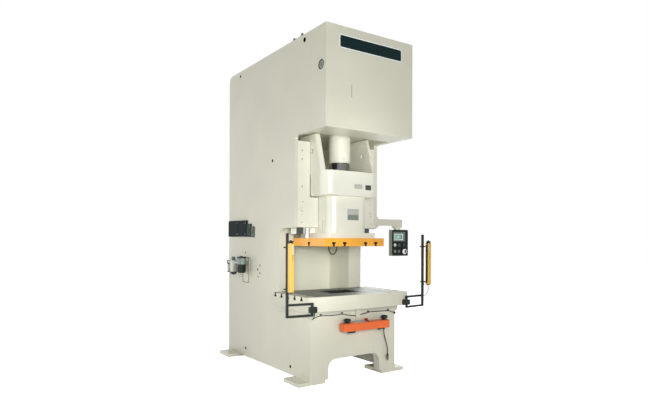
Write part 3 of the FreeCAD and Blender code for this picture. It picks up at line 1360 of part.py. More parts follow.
def top_breather():
    """Two oil fittings joined by a thin pipe, on the crown's left edge."""
    fittings = []
    for depth, cap in BREATHER_SPOTS:
        foot = drum("z", "fitting_radius", (BREATHER_X, f"front_face + {depth}", "total_height"),
                    "fitting_height")
        tip = drum("z", "fitting_cap", (BREATHER_X, f"front_face + {depth}", "total_height + fitting_height"),
                   cap)
        fittings += [foot, tip]
    near, far = (depth for depth, _ in BREATHER_SPOTS)
    pipe = drum("y", "pipe_radius", (BREATHER_X, f"front_face + {near}", "total_height + fitting_height / 2"),
                f"{far} - {near}")
    return node(fused(*fittings, pipe), "top_breather")


BREATHER_X = "-half_span + 25"
BREATHER_SPOTS = [(216, "12"), (385, "4")]


def flywheel_guard():
    """The louvred guard over the flywheel's opening."""
    inner = "rear_face - panel_depth - 4"
    body = new_body()
    sheet_shape = rectangle("-guard_half", "guard_half", "guard_low", "guard_high")
    slots = []
    for column in (-1, 1):
        for row in range(9):
            low = f"guard_low + 150 + {row} * louvre_pitch"
            slots.append(rectangle(*span(column, "50", "guard_half - 60"), low, f"{low} + louvre_height"))
    pad(body, outline(body, "XZ_Plane", f"-({inner})", sheet_shape, *slots), "panel_depth", backwards=True)
    return node(body, "flywheel_guard")


def rear_door():
    """The hinged door below the guard, with its two hinge barrels."""
    inner = "rear_face - panel_depth - 4"
    leaf = block(("-door_half + 2", "door_half"), (inner, "rear_face - 4"), ("door_low", "door_high"))
    parts = [leaf]
    for height in HINGE_HEIGHTS:
        barrel = drum("z", "hinge_barrel", ("hinge_axis", "hinge_plane", height), "60")
        strap = block(("hinge_axis", "-door_half + 40"), ("rear_face - 4", "rear_face + 2"),
                      (height, f"{height} + 60"))
        bore = drum("z", "hinge_pin + 0.05", ("hinge_axis", "hinge_plane", f"{height} - 1"), "62")
        parts.append(cut(fused(barrel, strap), bore))
    return node(fused(*parts), "rear_door")


def door_handle():
    """The rear door's quarter-turn handle."""
    x, z = "door_half - 70", "(door_low + door_high) / 2"
    boss = drum("y", "handle_boss", (x, "rear_face - 4", z), "12")
    grip = rounded(block((f"{x} - 12", f"{x} + 12"), ("rear_face + 8", "rear_face + 22"),
                         (f"{z} - 78", f"{z} + 20")), "5", along("y"))
    return node(fused(boss, grip), "door_handle")


top_breather()
flywheel_guard()
rear_door()
door_handle()


def junction_boxes():
    """A row of shallow enclosures in falling heights at the rear of the left side."""
    rows = [(1762, 2072, 1610, 1826, 24), (1518, 1758, 1610, 1825, 24),
            (1402, 1514, 1608, 1776, 20), (1316, 1398, 1602, 1742, 16)]
    boxes = []
    for near, far, low, high, depth in rows:
        shell = block((f"-half_span - {depth}", "-half_span"),
                      (f"front_face + {near}", f"front_face + {far}"), (low, high))
        boxes.append(rounded(shell, "box_round", edge_at("x")))
    return node(group(*boxes), "junction_boxes")


junction_boxes()


# ---------------------------------------------------------------- air unit

def air_unit():
    """Filter regulator and oiler with their bowls, nipple, inlet elbow and wall plate."""
    def head(plane, half, neck, top):
        base = block((f"air_plane - {half}", f"air_plane + {half}"),
                     (f"{plane} - {half}", f"{plane} + {half}"), (neck, top))
        return rounded(base, "10", along("z"))

    def bowl(plane, radius, low, neck):
        shell = turned("z", [("0", low), (f"{radius} * 0.45", low), (f"{radius} * 0.85", f"{low} + 16"),
                             (radius, f"{low} + 46"), (radius, neck), ("0", neck)])
        place(shell, x="air_plane", y=plane)
        return fused(shell, drum("z", "drain_radius", ("air_plane", plane, f"{low} - 22"), "24"))

    oiler = fused(head("oiler_plane", "oiler_half", "oiler_neck", "oiler_top"),
                  bowl("oiler_plane", "oiler_bowl", "oiler_low", "oiler_neck"),
                  drum("z", "oiler_half * 0.43", ("air_plane", "oiler_plane", "oiler_top"), "18"))
    regulator = fused(head("regulator_plane", "regulator_half", "regulator_neck", "regulator_top"),
                      bowl("regulator_plane", "regulator_bowl", "regulator_low", "regulator_neck"))
    nipple = drum("y", "air_pipe", ("air_plane", "oiler_plane + oiler_bowl", "air_pipe_height"),
                  "regulator_plane - oiler_plane - 104")
    inlet = drum("y", "air_pipe", ("air_plane", "regulator_plane + regulator_half - 2", "air_pipe_height"),
                 "72")
    elbow = drum("x", "air_pipe", ("air_plane", "regulator_plane + 112", "air_pipe_height"), "air_reach")
    link = block(("air_plane", "-half_span - 6"), ("oiler_plane - 20", "oiler_plane + 20"),
                 ("oiler_neck + 10", "oiler_top - 10"))
    wall_plate = block(("-half_span - 6", "-half_span"), ("front_face + 1468", "front_face + 1640"),
                       ("oiler_low - 128", "oiler_top + 5"))
    return node(fused(oiler, regulator, nipple, inlet, elbow, link, wall_plate), "air_unit")


def regulator_knob():
    """The regulator's adjusting knob."""
    low = "regulator_top + arm_play"
    high = f"{low} + knob_height"
    knob = turned("z", [("0", low), ("knob_radius - 5", low), ("knob_radius", f"{low} + 6.7"),
                        ("knob_radius", f"{high} - 7"), ("knob_radius - 5", high), ("0", high)])
    place(knob, x="air_plane", y="regulator_plane")
    notches = []
    for turn in range(12):
        angle = math.radians(30 * turn)
        notches.append(drum("z", "3", (f"air_plane + (knob_radius + 1.5) * {math.cos(angle):.5f}",
                                       f"regulator_plane + (knob_radius + 1.5) * {math.sin(angle):.5f}",
                                       f"{low} - 1"), "knob_height + 2"))
    return node(cut(knob, *notches), "regulator_knob")


air_unit()
regulator_knob()


# ---------------------------------------------------------------- light curtains

TAB_HEIGHTS = ("1496", "1068")
GLAND_WIDTH, GLAND_FRONT = ("898", "912"), "front_face - 170"


def curtain_bracket(label, side):
    """One swing bracket: a tall post, two bars and the round pivot bar at the clamp."""
    half = "curtain_bar / 2"
    post = block(span(side, "curtain_reach - " + half, "curtain_reach + " + half),
                 ("post_plane - " + half, "post_plane + " + half), ("curtain_low", "curtain_high"))
    near, far = f"{side} * curtain_pivot", f"{side} * curtain_reach"
    bar_shape = [(near, "curtain_plane - " + half), (far, "post_plane - " + half),
                 (far, "post_plane + " + half), (near, "curtain_plane + " + half)]
    bars = []
    for low in ("curtain_low", "curtain_low + curtain_frame - curtain_bar"):
        bar = new_body()
        pad(bar, outline(bar, "XY_Plane", low, bar_shape), "curtain_bar")
        bars.append(bar)
    pivot = drum("z", "pivot_radius", (near, "curtain_plane", "curtain_low"), "curtain_frame")
    tabs = [block(span(side, "unit_reach - 22", "unit_reach + 12"),
                  ("unit_plane + unit_side / 2", "post_plane"),
                  (f"{height} - tab_half", f"{height} + tab_half"))
            for height in TAB_HEIGHTS]
    crossbars = [drum("x", "crossbar_radius", (f"{far} - crossbar_half", "post_plane", height),
                      "2 * crossbar_half") for height in TAB_HEIGHTS]
    parts = [post, *bars, pivot, *tabs, *crossbars]
    if side > 0:
        lead_in = drum("z", "8", (f"{far} + {half} + 6", "post_plane", f"{TAB_HEIGHTS[1]} - 44"), "30")
        entry = block(GLAND_WIDTH, (GLAND_FRONT, "post_plane"), ("891", "909"))
        parts += [lead_in, entry]
    return node(fused(*parts), label)


def light_curtain(label, side):
    """One light-curtain unit with its sensing window on the side that faces the dies."""
    body = new_body()
    half = "unit_side / 2"
    low, high = span(side, f"unit_reach - {half}", f"unit_reach + {half}")
    section = rectangle(low, high, f"unit_plane - {half}", f"unit_plane + {half}")
    pad(body, outline(body, "XY_Plane", "unit_low", section), "unit_high - unit_low")
    bevel(body, "unit_point", either(edge_at("x", z="unit_low"), edge_at("x", z="unit_high"),
                                     edge_at("y", z="unit_low"), edge_at("y", z="unit_high")))
    soften(body, "unit_round", along("z"))
    window = rectangle("unit_plane - window_half", "unit_plane + window_half",
                       "unit_low + window_end", "unit_high - window_end")
    face = f"{side} * (unit_reach - {half})"
    pocket(body, outline(body, "YZ_Plane", face, window), "3", backwards=side > 0)
    return node(body, label)


def curtain_clamps():
    """The two blocks that hold the pivot bars on the bolster's front."""
    clamps = []
    for side in (-1, 1):
        body = block(span(side, "curtain_pivot - clamp_inset", "bolster_width / 2"),
                     ("bolster_front - clamp_depth", "bolster_front"), ("clamp_low", "clamp_high"))
        bore = drum("z", "pivot_radius + running_fit", (f"{side} * curtain_pivot", "curtain_plane",
                                                        "bolster_low"), "clamp_high - bolster_low + 12")
        clamps.append(cut(body, bore))
    return node(group(*clamps), "curtain_clamps")


for side_name, side_sign in (("left", -1), ("right", 1)):
    curtain_bracket("curtain_bracket_" + side_name, side_sign)
    light_curtain("light_curtain_" + side_name, side_sign)
curtain_clamps()


# ---------------------------------------------------------------- two-hand station

def two_hand_box():
    """The two-hand station's housing with button collars and holes."""
    body = new_body()
    base = rectangle("station_left", "station_left + station_width", "station_front", "station_rear")
    pad(body, outline(body, "XY_Plane", "station_low", base), "station_height")
    soften(body, "14", along("z"))
    soften(body, "6", edge_at("x", y="station_front", z="station_top"))
    spots = (("palm_left", "palm_collar", "palm_stem"), ("palm_right", "palm_collar", "palm_stem"),
             ("stop_x", "stop_collar", "stop_stem"))
    collars = [drum("z", collar, (x, "station_middle", "station_top"), "collar_rise")
               for x, collar, _ in spots]
    holes = [drum("z", f"{stem} + running_fit", (x, "station_middle", "station_top - 36"), "60")
             for x, _, stem in spots]
    return node(cut(fused(body, *collars), *holes), "two_hand_box")


def push_head(label, x, stem, radius, rise, crown):
    """A mushroom push button on the station: stem, flat underside and domed head."""
    low = "station_top - 20"
    under = f"station_top + {rise}"
    body = turned("z", [("0", low), (stem, low), (stem, under), (f"{radius} - 3", under),
                        (radius, f"{under} + 5"), (radius, f"{under} + {crown} * 0.45"),
                        (f"{radius} * 0.82", f"{under} + {crown} * 0.85"),
                        (f"{radius} * 0.45", f"{under} + {crown}"), ("0", f"{under} + {crown}")])
    place(body, x=x, y="station_middle")
    return node(body, label)


two_hand_box()
PALM_RISE, STOP_RISE = "collar_rise + palm_travel + 4", "collar_rise + palm_travel + 2"
push_head("palm_button_left", "palm_left", "palm_stem", "palm_radius", PALM_RISE, "32")
push_head("palm_button_right", "palm_right", "palm_stem", "palm_radius", PALM_RISE, "32")
push_head("station_stop", "stop_x", "stop_stem", "22", STOP_RISE, "18")


# ---------------------------------------------------------------- pendant

def pendant_arm():
    """The swinging arm that carries the pendant: root eye, beam and dropped end."""
    half = "arm_wide / 2"
    across = ("arm_plane - " + half, "arm_plane + " + half)
    beam = block(("arm_pivot", "pendant_pivot + drop_half"), across, ("arm_height", "arm_height + arm_tall"))
    eye = drum("z", half, ("arm_pivot", "arm_plane", "arm_height"), "arm_tall")
    drop = block(("pendant_pivot - drop_half", "pendant_pivot + drop_half"), across,
                 ("pendant_top + 23", "arm_height + 4"))
    bores = [drum("z", "arm_pin + running_fit", ("arm_pivot", "arm_plane", "arm_height - 1"), "arm_tall + 2"),
             drum("z", "swivel_radius + running_fit", ("pendant_pivot", "arm_plane", "pendant_top"), "48")]
    return node(cut(fused(beam, eye, drop), *bores), "pendant_arm")


def pendant_spots():
    """The five push buttons: (node name, X from the box's left side, height above its underside)."""
    spots = [("44", "141"), ("115", "141"), ("197", "141"), ("44", "60"), ("112", "60")]
    return [(f"pendant_button_{i}", f"pendant_left + {x}", f"pendant_low + {z}")
            for i, (x, z) in enumerate(spots, start=1)]


def pendant_box():
    """The pendant's housing: screen recess, button bezels and the swivel flange on top."""
    body = new_body()
    right = "pendant_left + pendant_width"
    face = rectangle("pendant_left", right, "pendant_low", "pendant_top")
    pad(body, outline(body, "XZ_Plane", "-(pendant_face)", face), "pendant_thick", backwards=True)
    soften(body, "9", along("y"))
    screen = rectangle("pendant_left + 35", "pendant_left + 195", "pendant_low + 204", "pendant_low + 291")
    pocket(body, outline(body, "XZ_Plane", "-(pendant_face)", screen), "3")
    parts, holes = [body], []
    for _, x, z in pendant_spots():
        parts.append(block((f"{x} - bezel_half", f"{x} + bezel_half"),
                           ("pendant_face - bezel_rise", "pendant_face"),
                           (f"{z} - bezel_half", f"{z} + bezel_half")))
        holes.append(drum("y", "button_radius + 0.1", (x, "pendant_face - 10", z), "40"))
    parts.append(drum("y", "40", ("pendant_stop_x", "pendant_face - bezel_rise", "pendant_stop_z"),
                      "bezel_rise"))
    holes.append(drum("y", "pendant_stop_stem + running_fit",
                      ("pendant_stop_x", "pendant_face - 10", "pendant_stop_z"), "45"))
    parts.append(drum("z", "swivel_flange", ("pendant_pivot", "arm_plane", "pendant_top"), "23 - arm_play"))
    parts.append(drum("z", "swivel_radius", ("pendant_pivot", "arm_plane", "pendant_top"), "44"))
    return node(cut(fused(*parts), *holes), "pendant_box")


def pendant_button(label, x, z):
    """One push button on the pendant."""
    front, inner = "pendant_face - 14", "pendant_face + 18"
    body = turned("y", [(inner, "0"), (inner, "button_radius"), (f"{front} + 3", "button_radius"),
                        (front, "button_radius - 3"), (front, "0")])
    place(body, x=x, z=z)
    return node(body, label)


def pendant_stop():
    """The pendant's stop button."""
    inner = "pendant_face + 22"
    stem = "pendant_stop_stem"
    body = turned("y", [(inner, "0"), (inner, stem), ("pendant_face - 12", stem), ("pendant_face - 12", "30"),
                        ("pendant_face - 17", "33"), ("pendant_face - 28", "33"), ("pendant_face - 36", "22"),
                        ("pendant_face - 37", "0")])
    place(body, x="pendant_stop_x", z="pendant_stop_z")
    return node(body, "pendant_stop")


pendant_arm()
pendant_box()
for button_label, button_x, button_z in pendant_spots():
    pendant_button(button_label, button_x, button_z)
pendant_stop()


# ---------------------------------------------------------------- cables and hose

def cord(label, radius, route):
    """A round cord along straight runs joined by tangent arcs, as large as the runs allow."""
    points = [FreeCAD.Vector(*(size(c) for c in point)) for point in route]
    radius = size(radius)
    edges, start = [], points[0]
    for before, corner, after in zip(points, points[1:], points[2:]):
        back, ahead = before - corner, after - corner
        run = min(back.Length, ahead.Length)
        back, ahead = back.normalize(), ahead.normalize()
        turn = math.pi - back.getAngle(ahead)
        bend = 0.45 * run / math.tan(turn / 2)
        first, last = corner + back * 0.45 * run, corner + ahead * 0.45 * run
        bisector = (back + ahead).normalize()
        centre = corner + bisector * (bend / math.cos(turn / 2))
        edges.append(Part.LineSegment(start, first).toShape())
        edges.append(Part.Arc(first, centre - bisector * bend, last).toShape())
        print(label, "bend radius", round(bend))
        start = last
    edges.append(Part.LineSegment(start, points[-1]).toShape())
    path = Part.Wire(edges)
    ring = Part.Wire(Part.makeCircle(radius, points[0], points[1] - points[0]))
    tube = path.makePipeShell([ring], True, False)
    expected = math.pi * radius ** 2 * path.Length
    if abs(tube.Volume - expected) > 0.01 * expected:
        raise ValueError(f"{label} is not a clean tube: {tube.Volume} for {expected}")
    print(label, "length", round(path.Length))
    feature = doc.addObject("Part::Feature", "Cord")
    feature.Shape = tube
    return node(feature, label)


FRONT_ROUTE = [
    (-632, -135, 808), (-632, -135, 768), (-626, -92, 733), (-605, -45, 716), (-566, -12, 722),
    (-510, -9, 742), (-440, -10, 746), (-350, -9, 738), (-255, -10, 740), (-178, -9, 746),
    (-110, -10, 727), (-40, -9, 715), (35, -9.6, 713), (110, -9, 722), (186, -10, 738), (270, -9, 741),
    (365, -10, 738), (450, -9, 737), (507, -10, 735), (556, -9, 708), (588, -9, 708),
]
STATION_ROUTE = [
    (368, -76.5, 537), (368, -76.5, 497), (386, -73, 440), (414, -66, 376), (442, -54, 318), (460, -36, 292),
    (472, -24, 254), (472, -24, 224),
]
HOSE_ROUTE = [
    (104, 690, 1593), (104, 690, 1550), (106, 687, 1495), (106, 689, 1440), (146, 691, 1400),
    (202, 691, 1400), (242, 689, 1440), (242, 687, 1495), (244, 690, 1550), (244, 690, 1593),
]
CURTAIN_ROUTE = [
    (963, -199, 1030), (963, -199, 1004), (968, -194, 978), (968, -186, 954), (961, -177, 930),
    (949, -168, 911), (930, -162.5, 900), (912, -162.5, 900),
]


def from_front(route):
    """Route points with Y measured from the base front."""
    return [(x, f"front_face + {y}", z) for x, y, z in route]


cord("front_cable", "cable_radius", from_front(FRONT_ROUTE))
cord("station_cable", "station_cable_radius", from_front(STATION_ROUTE))
cord("slide_hose", "hose_radius", from_front(HOSE_ROUTE))
cord("curtain_cable", "curtain_cable_radius", from_front(CURTAIN_ROUTE))


def cable_clips():
    """Clips of the front cable, its end block, and the glands and socket of the station's cable."""
    clips = []
    for x, z in ((-470, 745), (-185, 745), (190, 738), (490, 736)):
        clips.append(block((f"{x} - clip_half", f"{x} + clip_half"),
                           ("front_face - clip_reach", "front_face"),
                           (f"{z} + 5.5", f"{z} + 18")))
    clips.append(block((588, 604), ("front_face - 18", "front_face"), (690, 716)))
    for x in (-146, 296, 368):
        clips.append(drum("z", "gland_radius", (x, "station_middle", "station_low - gland_length"),
                          "gland_length"))
    socket = drum("z", "socket_radius", ("socket_x", "front_face - 24", "socket_low"), "socket_length")
    saddle = block(("socket_x - 10", "socket_x + 10"), ("front_face - 24", "front_face"),
                   ("socket_low + 18", "socket_low + 54"))
    clips.append(fused(socket, saddle))
    return node(group(*clips), "cable_clips")


cable_clips()


def build_and_write():
    """Recompute, refuse any failed object or shape, then write one STEP file for each sub-part."""
    doc.recompute()
    for thing in doc.Objects:
        if {"Invalid", "Error"} & set(thing.State):
            raise ValueError(f"{thing.Name} ({thing.Label}) did not build: {thing.State}")
    os.makedirs("parts", exist_ok=True)
    for thing in nodes:
        if thing.Shape.isNull() or not thing.Shape.isValid():
            raise ValueError(f"{thing.Label} has no valid shape")
    for thing in nodes:
        thing.Shape.exportStep(os.path.join("parts", thing.Label + ".step"))


build_and_write()
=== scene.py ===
"""Looks of the mechanical stamping press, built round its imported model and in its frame.

Objects, lamps and materials count in metres.  The meshes of pieces, the routes of cords and the choosers
that share out a node's faces among materials count in millimetres.
"""
import math
import bmesh
import bpy
from mathutils import Matrix, Vector


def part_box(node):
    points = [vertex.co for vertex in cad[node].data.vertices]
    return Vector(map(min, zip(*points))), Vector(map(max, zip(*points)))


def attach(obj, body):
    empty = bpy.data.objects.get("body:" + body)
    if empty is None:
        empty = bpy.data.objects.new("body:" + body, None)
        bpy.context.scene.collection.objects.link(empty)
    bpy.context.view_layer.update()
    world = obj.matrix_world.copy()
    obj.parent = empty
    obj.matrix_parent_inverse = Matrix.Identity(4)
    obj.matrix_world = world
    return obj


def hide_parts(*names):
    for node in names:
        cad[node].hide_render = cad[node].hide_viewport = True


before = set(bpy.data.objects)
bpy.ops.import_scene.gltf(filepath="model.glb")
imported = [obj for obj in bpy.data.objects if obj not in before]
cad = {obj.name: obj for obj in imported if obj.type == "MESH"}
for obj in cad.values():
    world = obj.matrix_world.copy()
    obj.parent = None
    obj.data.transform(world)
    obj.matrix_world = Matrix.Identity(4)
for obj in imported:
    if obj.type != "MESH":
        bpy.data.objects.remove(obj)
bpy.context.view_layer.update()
scene = bpy.context.scene

MM = 0.001
# Places and sizes in millimetres:
FRONT = -1050               # the base's front face
COVER_FRONT = -1345         # front face of the crown's cover
SIDE = 605                  # centre plane to the side plates' outer faces
HOUSING_FRONT = -1030       # front face of the slide's housing
NECK_FRONT = -955           # front face of the slide's neck
STATION_LID = 650           # top of the two-hand station's box
PENDANT_FRONT = -661        # front face of the pendant's box
PENDANT_REAR = -588         # its back face
PENDANT_TOP = 1707          # its top, under the arm's stub
PLUG_PLACE = (-1250.0, 3411.0)      # Y and Z of the round plug in the cover's left side
PLUG_RADIUS = 53            # radius of its recess
LEFT, RIGHT = (-1, 0, 0), (1, 0, 0)
FORWARD, BACK = (0, -1, 0), (0, 1, 0)
UP = (0, 0, 1)


def add_object(name, data):
    """A new object in the scene."""
    item = bpy.data.objects.new(name, data)
    scene.collection.objects.link(item)
    return item


# -------------------- camera

def make_camera():
    """The photograph's own viewing place and angle, from its vanishing points."""
    data = bpy.data.cameras.new("camera")
    camera = add_object("camera", data)
    data.sensor_width = 36.0
    data.lens = 29.83
    data.shift_y = 0.053
    camera.location = (-3.7226, -5.9157, 1.5794)
    heading, pitch, roll = math.radians(-34.12), math.radians(0.1), math.radians(0.2)
    turn = Matrix.Rotation(heading, 4, "Z") @ Matrix.Rotation(math.pi / 2 + pitch, 4, "X")
    camera.rotation_euler = (turn @ Matrix.Rotation(roll, 4, "Z")).to_euler()
    data.clip_end = 200
    scene.camera = camera


make_camera()


# -------------------- materials

class Nodes:
    """A node tree, with helpers that add to it."""

    def __init__(self, tree):
        self.tree = tree

    def feed(self, socket, value):
        """Link an output to a socket, or set the socket's own value."""
        if isinstance(value, bpy.types.NodeSocket):
            self.tree.links.new(value, socket)
        else:
            socket.default_value = value

    def fill(self, node, **values):
        """Feed inputs by their names, with underscores for spaces.  Names in small letters are settings."""
        for key, value in values.items():
            if key[0].isupper():
                self.feed(node.inputs[key.replace("_", " ")], value)
            else:
                setattr(node, key, value)

    def add(self, kind, **values):
        """A new node, filled in."""
        node = self.tree.nodes.new(kind)
        self.fill(node, **values)
        return node

    def spread(self, value, low, high, to_low=0.0, to_high=1.0):
        """The value's range low..high carried over to another range, held at its ends."""
        node = self.add("ShaderNodeMapRange", Value=value, From_Min=low, From_Max=high,
                        To_Min=to_low, To_Max=to_high)
        return node.outputs["Result"]

    def math(self, operation, first, second=0.0):
        """The result of a sum or function of one or two values."""
        node = self.add("ShaderNodeMath", operation=operation)
        self.feed(node.inputs[0], first)
        self.feed(node.inputs[1], second)
        return node.outputs["Value"]

    def seen(self):
        """1 on rays from the camera, gloss and glass."""
        path = self.add("ShaderNodeLightPath").outputs
        sent_on = self.math("MAXIMUM", path["Is Glossy Ray"], path["Is Transmission Ray"])
        return self.math("MAXIMUM", path["Is Camera Ray"], sent_on)


class Material(Nodes):
    """A material, with helpers for what feeds its Principled shader."""

    def __init__(self, name):
        self.data = bpy.data.materials.new(name)
        self.data.use_nodes = True
        super().__init__(self.data.node_tree)
        self.shader = self.tree.nodes["Principled BSDF"]
        self.place = self.add("ShaderNodeTexCoord").outputs["Object"]

    def set(self, **values):
        """Feed the shader's inputs."""
        self.fill(self.shader, **values)

    def noise(self, scale, detail=2.0, stretch=(1, 1, 1)):
        """Noise over the part's own coordinates, about scale features to the metre."""
        place = self.place
        if stretch != (1, 1, 1):
            place = self.add("ShaderNodeMapping", Vector=place, Scale=stretch).outputs["Vector"]
        return self.add("ShaderNodeTexNoise", Vector=place, Scale=scale, Detail=detail).outputs["Fac"]

    def times(self, first, second):
        """The product of two values."""
        return self.math("MULTIPLY", first, second)

    def near(self, value, middle, reach, soft):
        """1 where the value lies within reach of middle, fading to 0 over soft."""
        gap = self.math("ABSOLUTE", self.math("SUBTRACT", value, middle))
        return self.spread(gap, reach + soft, reach)

    def blend(self, share, first, second):
        """Two colours mixed by a share."""
        node = self.add("ShaderNodeMix", data_type="RGBA")
        self.feed(node.inputs[0], share)
        for socket, value in ((node.inputs[6], first), (node.inputs[7], second)):
            self.feed(socket, value if isinstance(value, bpy.types.NodeSocket) else (*value, 1))
        return node.outputs[2]

    def axes(self, place=None):
        """The X, Y and Z outputs of the part's coordinates, or of another vector."""
        return self.add("ShaderNodeSeparateXYZ", Vector=place or self.place).outputs

    def facing_up(self):
        """The Z of each face's own normal."""
        return self.axes(self.add("ShaderNodeNewGeometry").outputs["True Normal"])[2]

    def soft_normal(self, radius):
        """The normal with its edges rounded."""
        return self.add("ShaderNodeBevel", samples=4, Radius=radius).outputs["Normal"]

    def edges(self, radius):
        """A mask that is 1 on the edges of the shape."""
        flat = self.add("ShaderNodeNewGeometry").outputs["Normal"]
        dot = self.add("ShaderNodeVectorMath", operation="DOT_PRODUCT")
        self.feed(dot.inputs[0], self.soft_normal(radius))
        self.feed(dot.inputs[1], flat)
        return self.spread(dot.outputs["Value"], 0.995, 0.86)

    def bump(self, height, strength, distance, normal=None):
        """Relief: its height map, its share and its depth."""
        node = self.add("ShaderNodeBump", Height=height, Strength=strength, Distance=distance)
        if normal is not None:
            self.fill(node, Normal=normal)
        self.set(Normal=node.outputs["Normal"])


PAINT_EDGE = 0.0025     # how far enamel is rounded and rubbed at its edges
STEEL_EDGE = 0.0012
PLASTIC_EDGE = 0.001


def shade(colour, factor):
    """The colour made darker or paler, held at white."""
    return tuple(min(1.0, c * factor) for c in colour)


def paint(name, colour, roughness=0.34, wear=0.35, worn=None, grime=0.12, coat=0.12, specular=0.5,
          marks=None):
    """Satin enamel: faint clouding, orange peel, grime low down, rubbed edges."""
    m = Material(name)
    clouds = m.noise(1.7, 3.0)
    specks = m.noise(38.0, 4.0)
    base = m.blend(m.spread(clouds, 0.35, 0.65), shade(colour, 0.965), shade(colour, 1.02))
    streaks = m.noise(7.0, 4.0, (3.0, 3.0, 0.35))
    height = m.axes()[2]
    low = m.spread(height, 0.55, 0.0, 0.0, grime)
    dust = m.times(low, m.spread(streaks, 0.35, 0.7))
    base = m.blend(dust, base, shade(colour, 0.55))
    if marks:
        base = marks(m, base)
    rubbed = m.times(m.edges(PAINT_EDGE), m.spread(specks, 0.42, 0.62, 0.0, wear))
    base = m.blend(rubbed, base, worn or shade(colour, 0.62))
    m.set(Base_Color=base, Roughness=m.spread(clouds, 0.3, 0.7, roughness - 0.04, roughness + 0.07))
    m.set(Coat_Weight=coat, Coat_Roughness=0.18, Specular_IOR_Level=specular)
    m.bump(m.noise(420.0, 1.0), 0.05, 0.0006, m.soft_normal(PAINT_EDGE))
    return m.data


def dark_paint(name, colour, worn=(0.13, 0.14, 0.13), wear=0.45, specular=0.22):
    """Dark satin enamel with little gloss, rubbed to a lighter grey at its edges."""
    return paint(name, colour, 0.5, wear, worn, grime=0.0, coat=0.0, specular=specular)


def steel(name, colour, roughness, scale, lines=(1, 1, 1), metal=1.0, depth=0.08):
    """Machined, ground or cast metal: tool lines or grain, cloudy sheen, bright edges."""
    m = Material(name)
    marks = m.noise(scale, 3.0, lines)
    clouds = m.noise(6.0, 3.0)
    base = m.blend(m.spread(clouds, 0.3, 0.7), shade(colour, 0.86), shade(colour, 1.1))
    base = m.blend(m.times(m.edges(STEEL_EDGE), 0.5), base, shade(colour, 1.6))
    sheen = m.spread(clouds, 0.3, 0.7, roughness - 0.03, roughness + 0.05)
    rough = m.math("ADD", m.spread(marks, 0.3, 0.7, -0.07, 0.09), sheen)
    m.set(Base_Color=base, Roughness=rough, Metallic=metal)
    m.bump(marks, depth, 0.0004, m.soft_normal(STEEL_EDGE))
    return m.data


def plastic(name, colour, roughness, specular=0.3, glow=0.0):
    """Moulded plastic: fine grain, faint handling marks."""
    m = Material(name)
    marks = m.noise(60.0, 4.0)
    base = m.blend(m.spread(marks, 0.35, 0.7), shade(colour, 0.9), shade(colour, 1.08))
    base = m.blend(m.times(m.edges(PLASTIC_EDGE), 0.35), base, shade(colour, 1.5))
    m.set(Base_Color=base, Roughness=m.spread(marks, 0.3, 0.75, roughness - 0.05, roughness + 0.1))
    m.set(Specular_IOR_Level=specular, Emission_Color=(*colour, 1), Emission_Strength=glow)
    m.bump(m.noise(900.0, 1.0), 0.05, 0.0003, m.soft_normal(PLASTIC_EDGE))
    return m.data


def rubber(name, colour, roughness=0.55):
    """Cable sheath: matt, dusty, with a fine texture."""
    m = Material(name)
    dust = m.noise(45.0, 4.0)
    base = m.blend(m.spread(dust, 0.45, 0.75), colour, shade(colour, 2.2))
    m.set(Base_Color=base, Roughness=m.spread(dust, 0.3, 0.7, roughness - 0.08, roughness + 0.12))
    m.set(Specular_IOR_Level=0.3)
    m.bump(m.noise(1200.0, 1.0), 0.06, 0.0002)
    return m.data


def glass(name, colour, roughness, streak, coat=0.6, specular=0.5):
    """A moulded bowl or pane, taken as a glossy tinted solid with paler upright streaks: flow lines and
    painted glints.
    """
    m = Material(name)
    lines = m.noise(30.0, 3.0, (1.0, 1.0, 0.08))
    base = m.blend(m.spread(lines, 0.42, 0.62, 0.0, streak), colour, shade(colour, 2.4))
    m.set(Base_Color=base, Roughness=m.spread(lines, 0.3, 0.7, roughness, roughness + 0.08))
    m.set(Coat_Weight=coat, Coat_Roughness=0.05, Specular_IOR_Level=specular)
    m.bump(lines, 0.1, 0.0004)
    return m.data


CREAM = (0.735, 0.728, 0.592)
SLIDE_CREAM = (0.850, 0.850, 0.725)
ORANGE = (0.920, 0.420, 0.040)
STATION = (0.880, 0.150, 0.018)
YELLOW = (0.800, 0.465, 0.070)
BRACKET_GREEN = (0.017, 0.025, 0.018)
BLUE_BLACK = (0.003, 0.011, 0.010)


def cover_seams(m, base):
    """Dust in the joint between the cover and the side plates' front edges."""
    joint = m.near(m.axes()[1], FRONT * MM, 0.0018, 0.002)
    return m.blend(m.times(joint, 0.6), base, shade(CREAM, 0.38))


def side_painted_shade(m, base):
    """Painted shade that darkens a side plate low down at its rear."""
    _, y, z = m.axes()
    share = m.times(m.spread(y, -0.1, 0.9), m.spread(z, 1.5, 0.1))
    return m.blend(m.times(share, 0.62), base, shade(CREAM, 0.55))


def station_seam(m, base):
    """The shut line of the station's lid, 8.5 mm under its top."""
    joint = m.near(m.axes()[2], (STATION_LID - 8.5) * MM, 0.0007, 0.0006)
    return m.blend(m.times(joint, 0.75), base, (0.10, 0.02, 0.005))


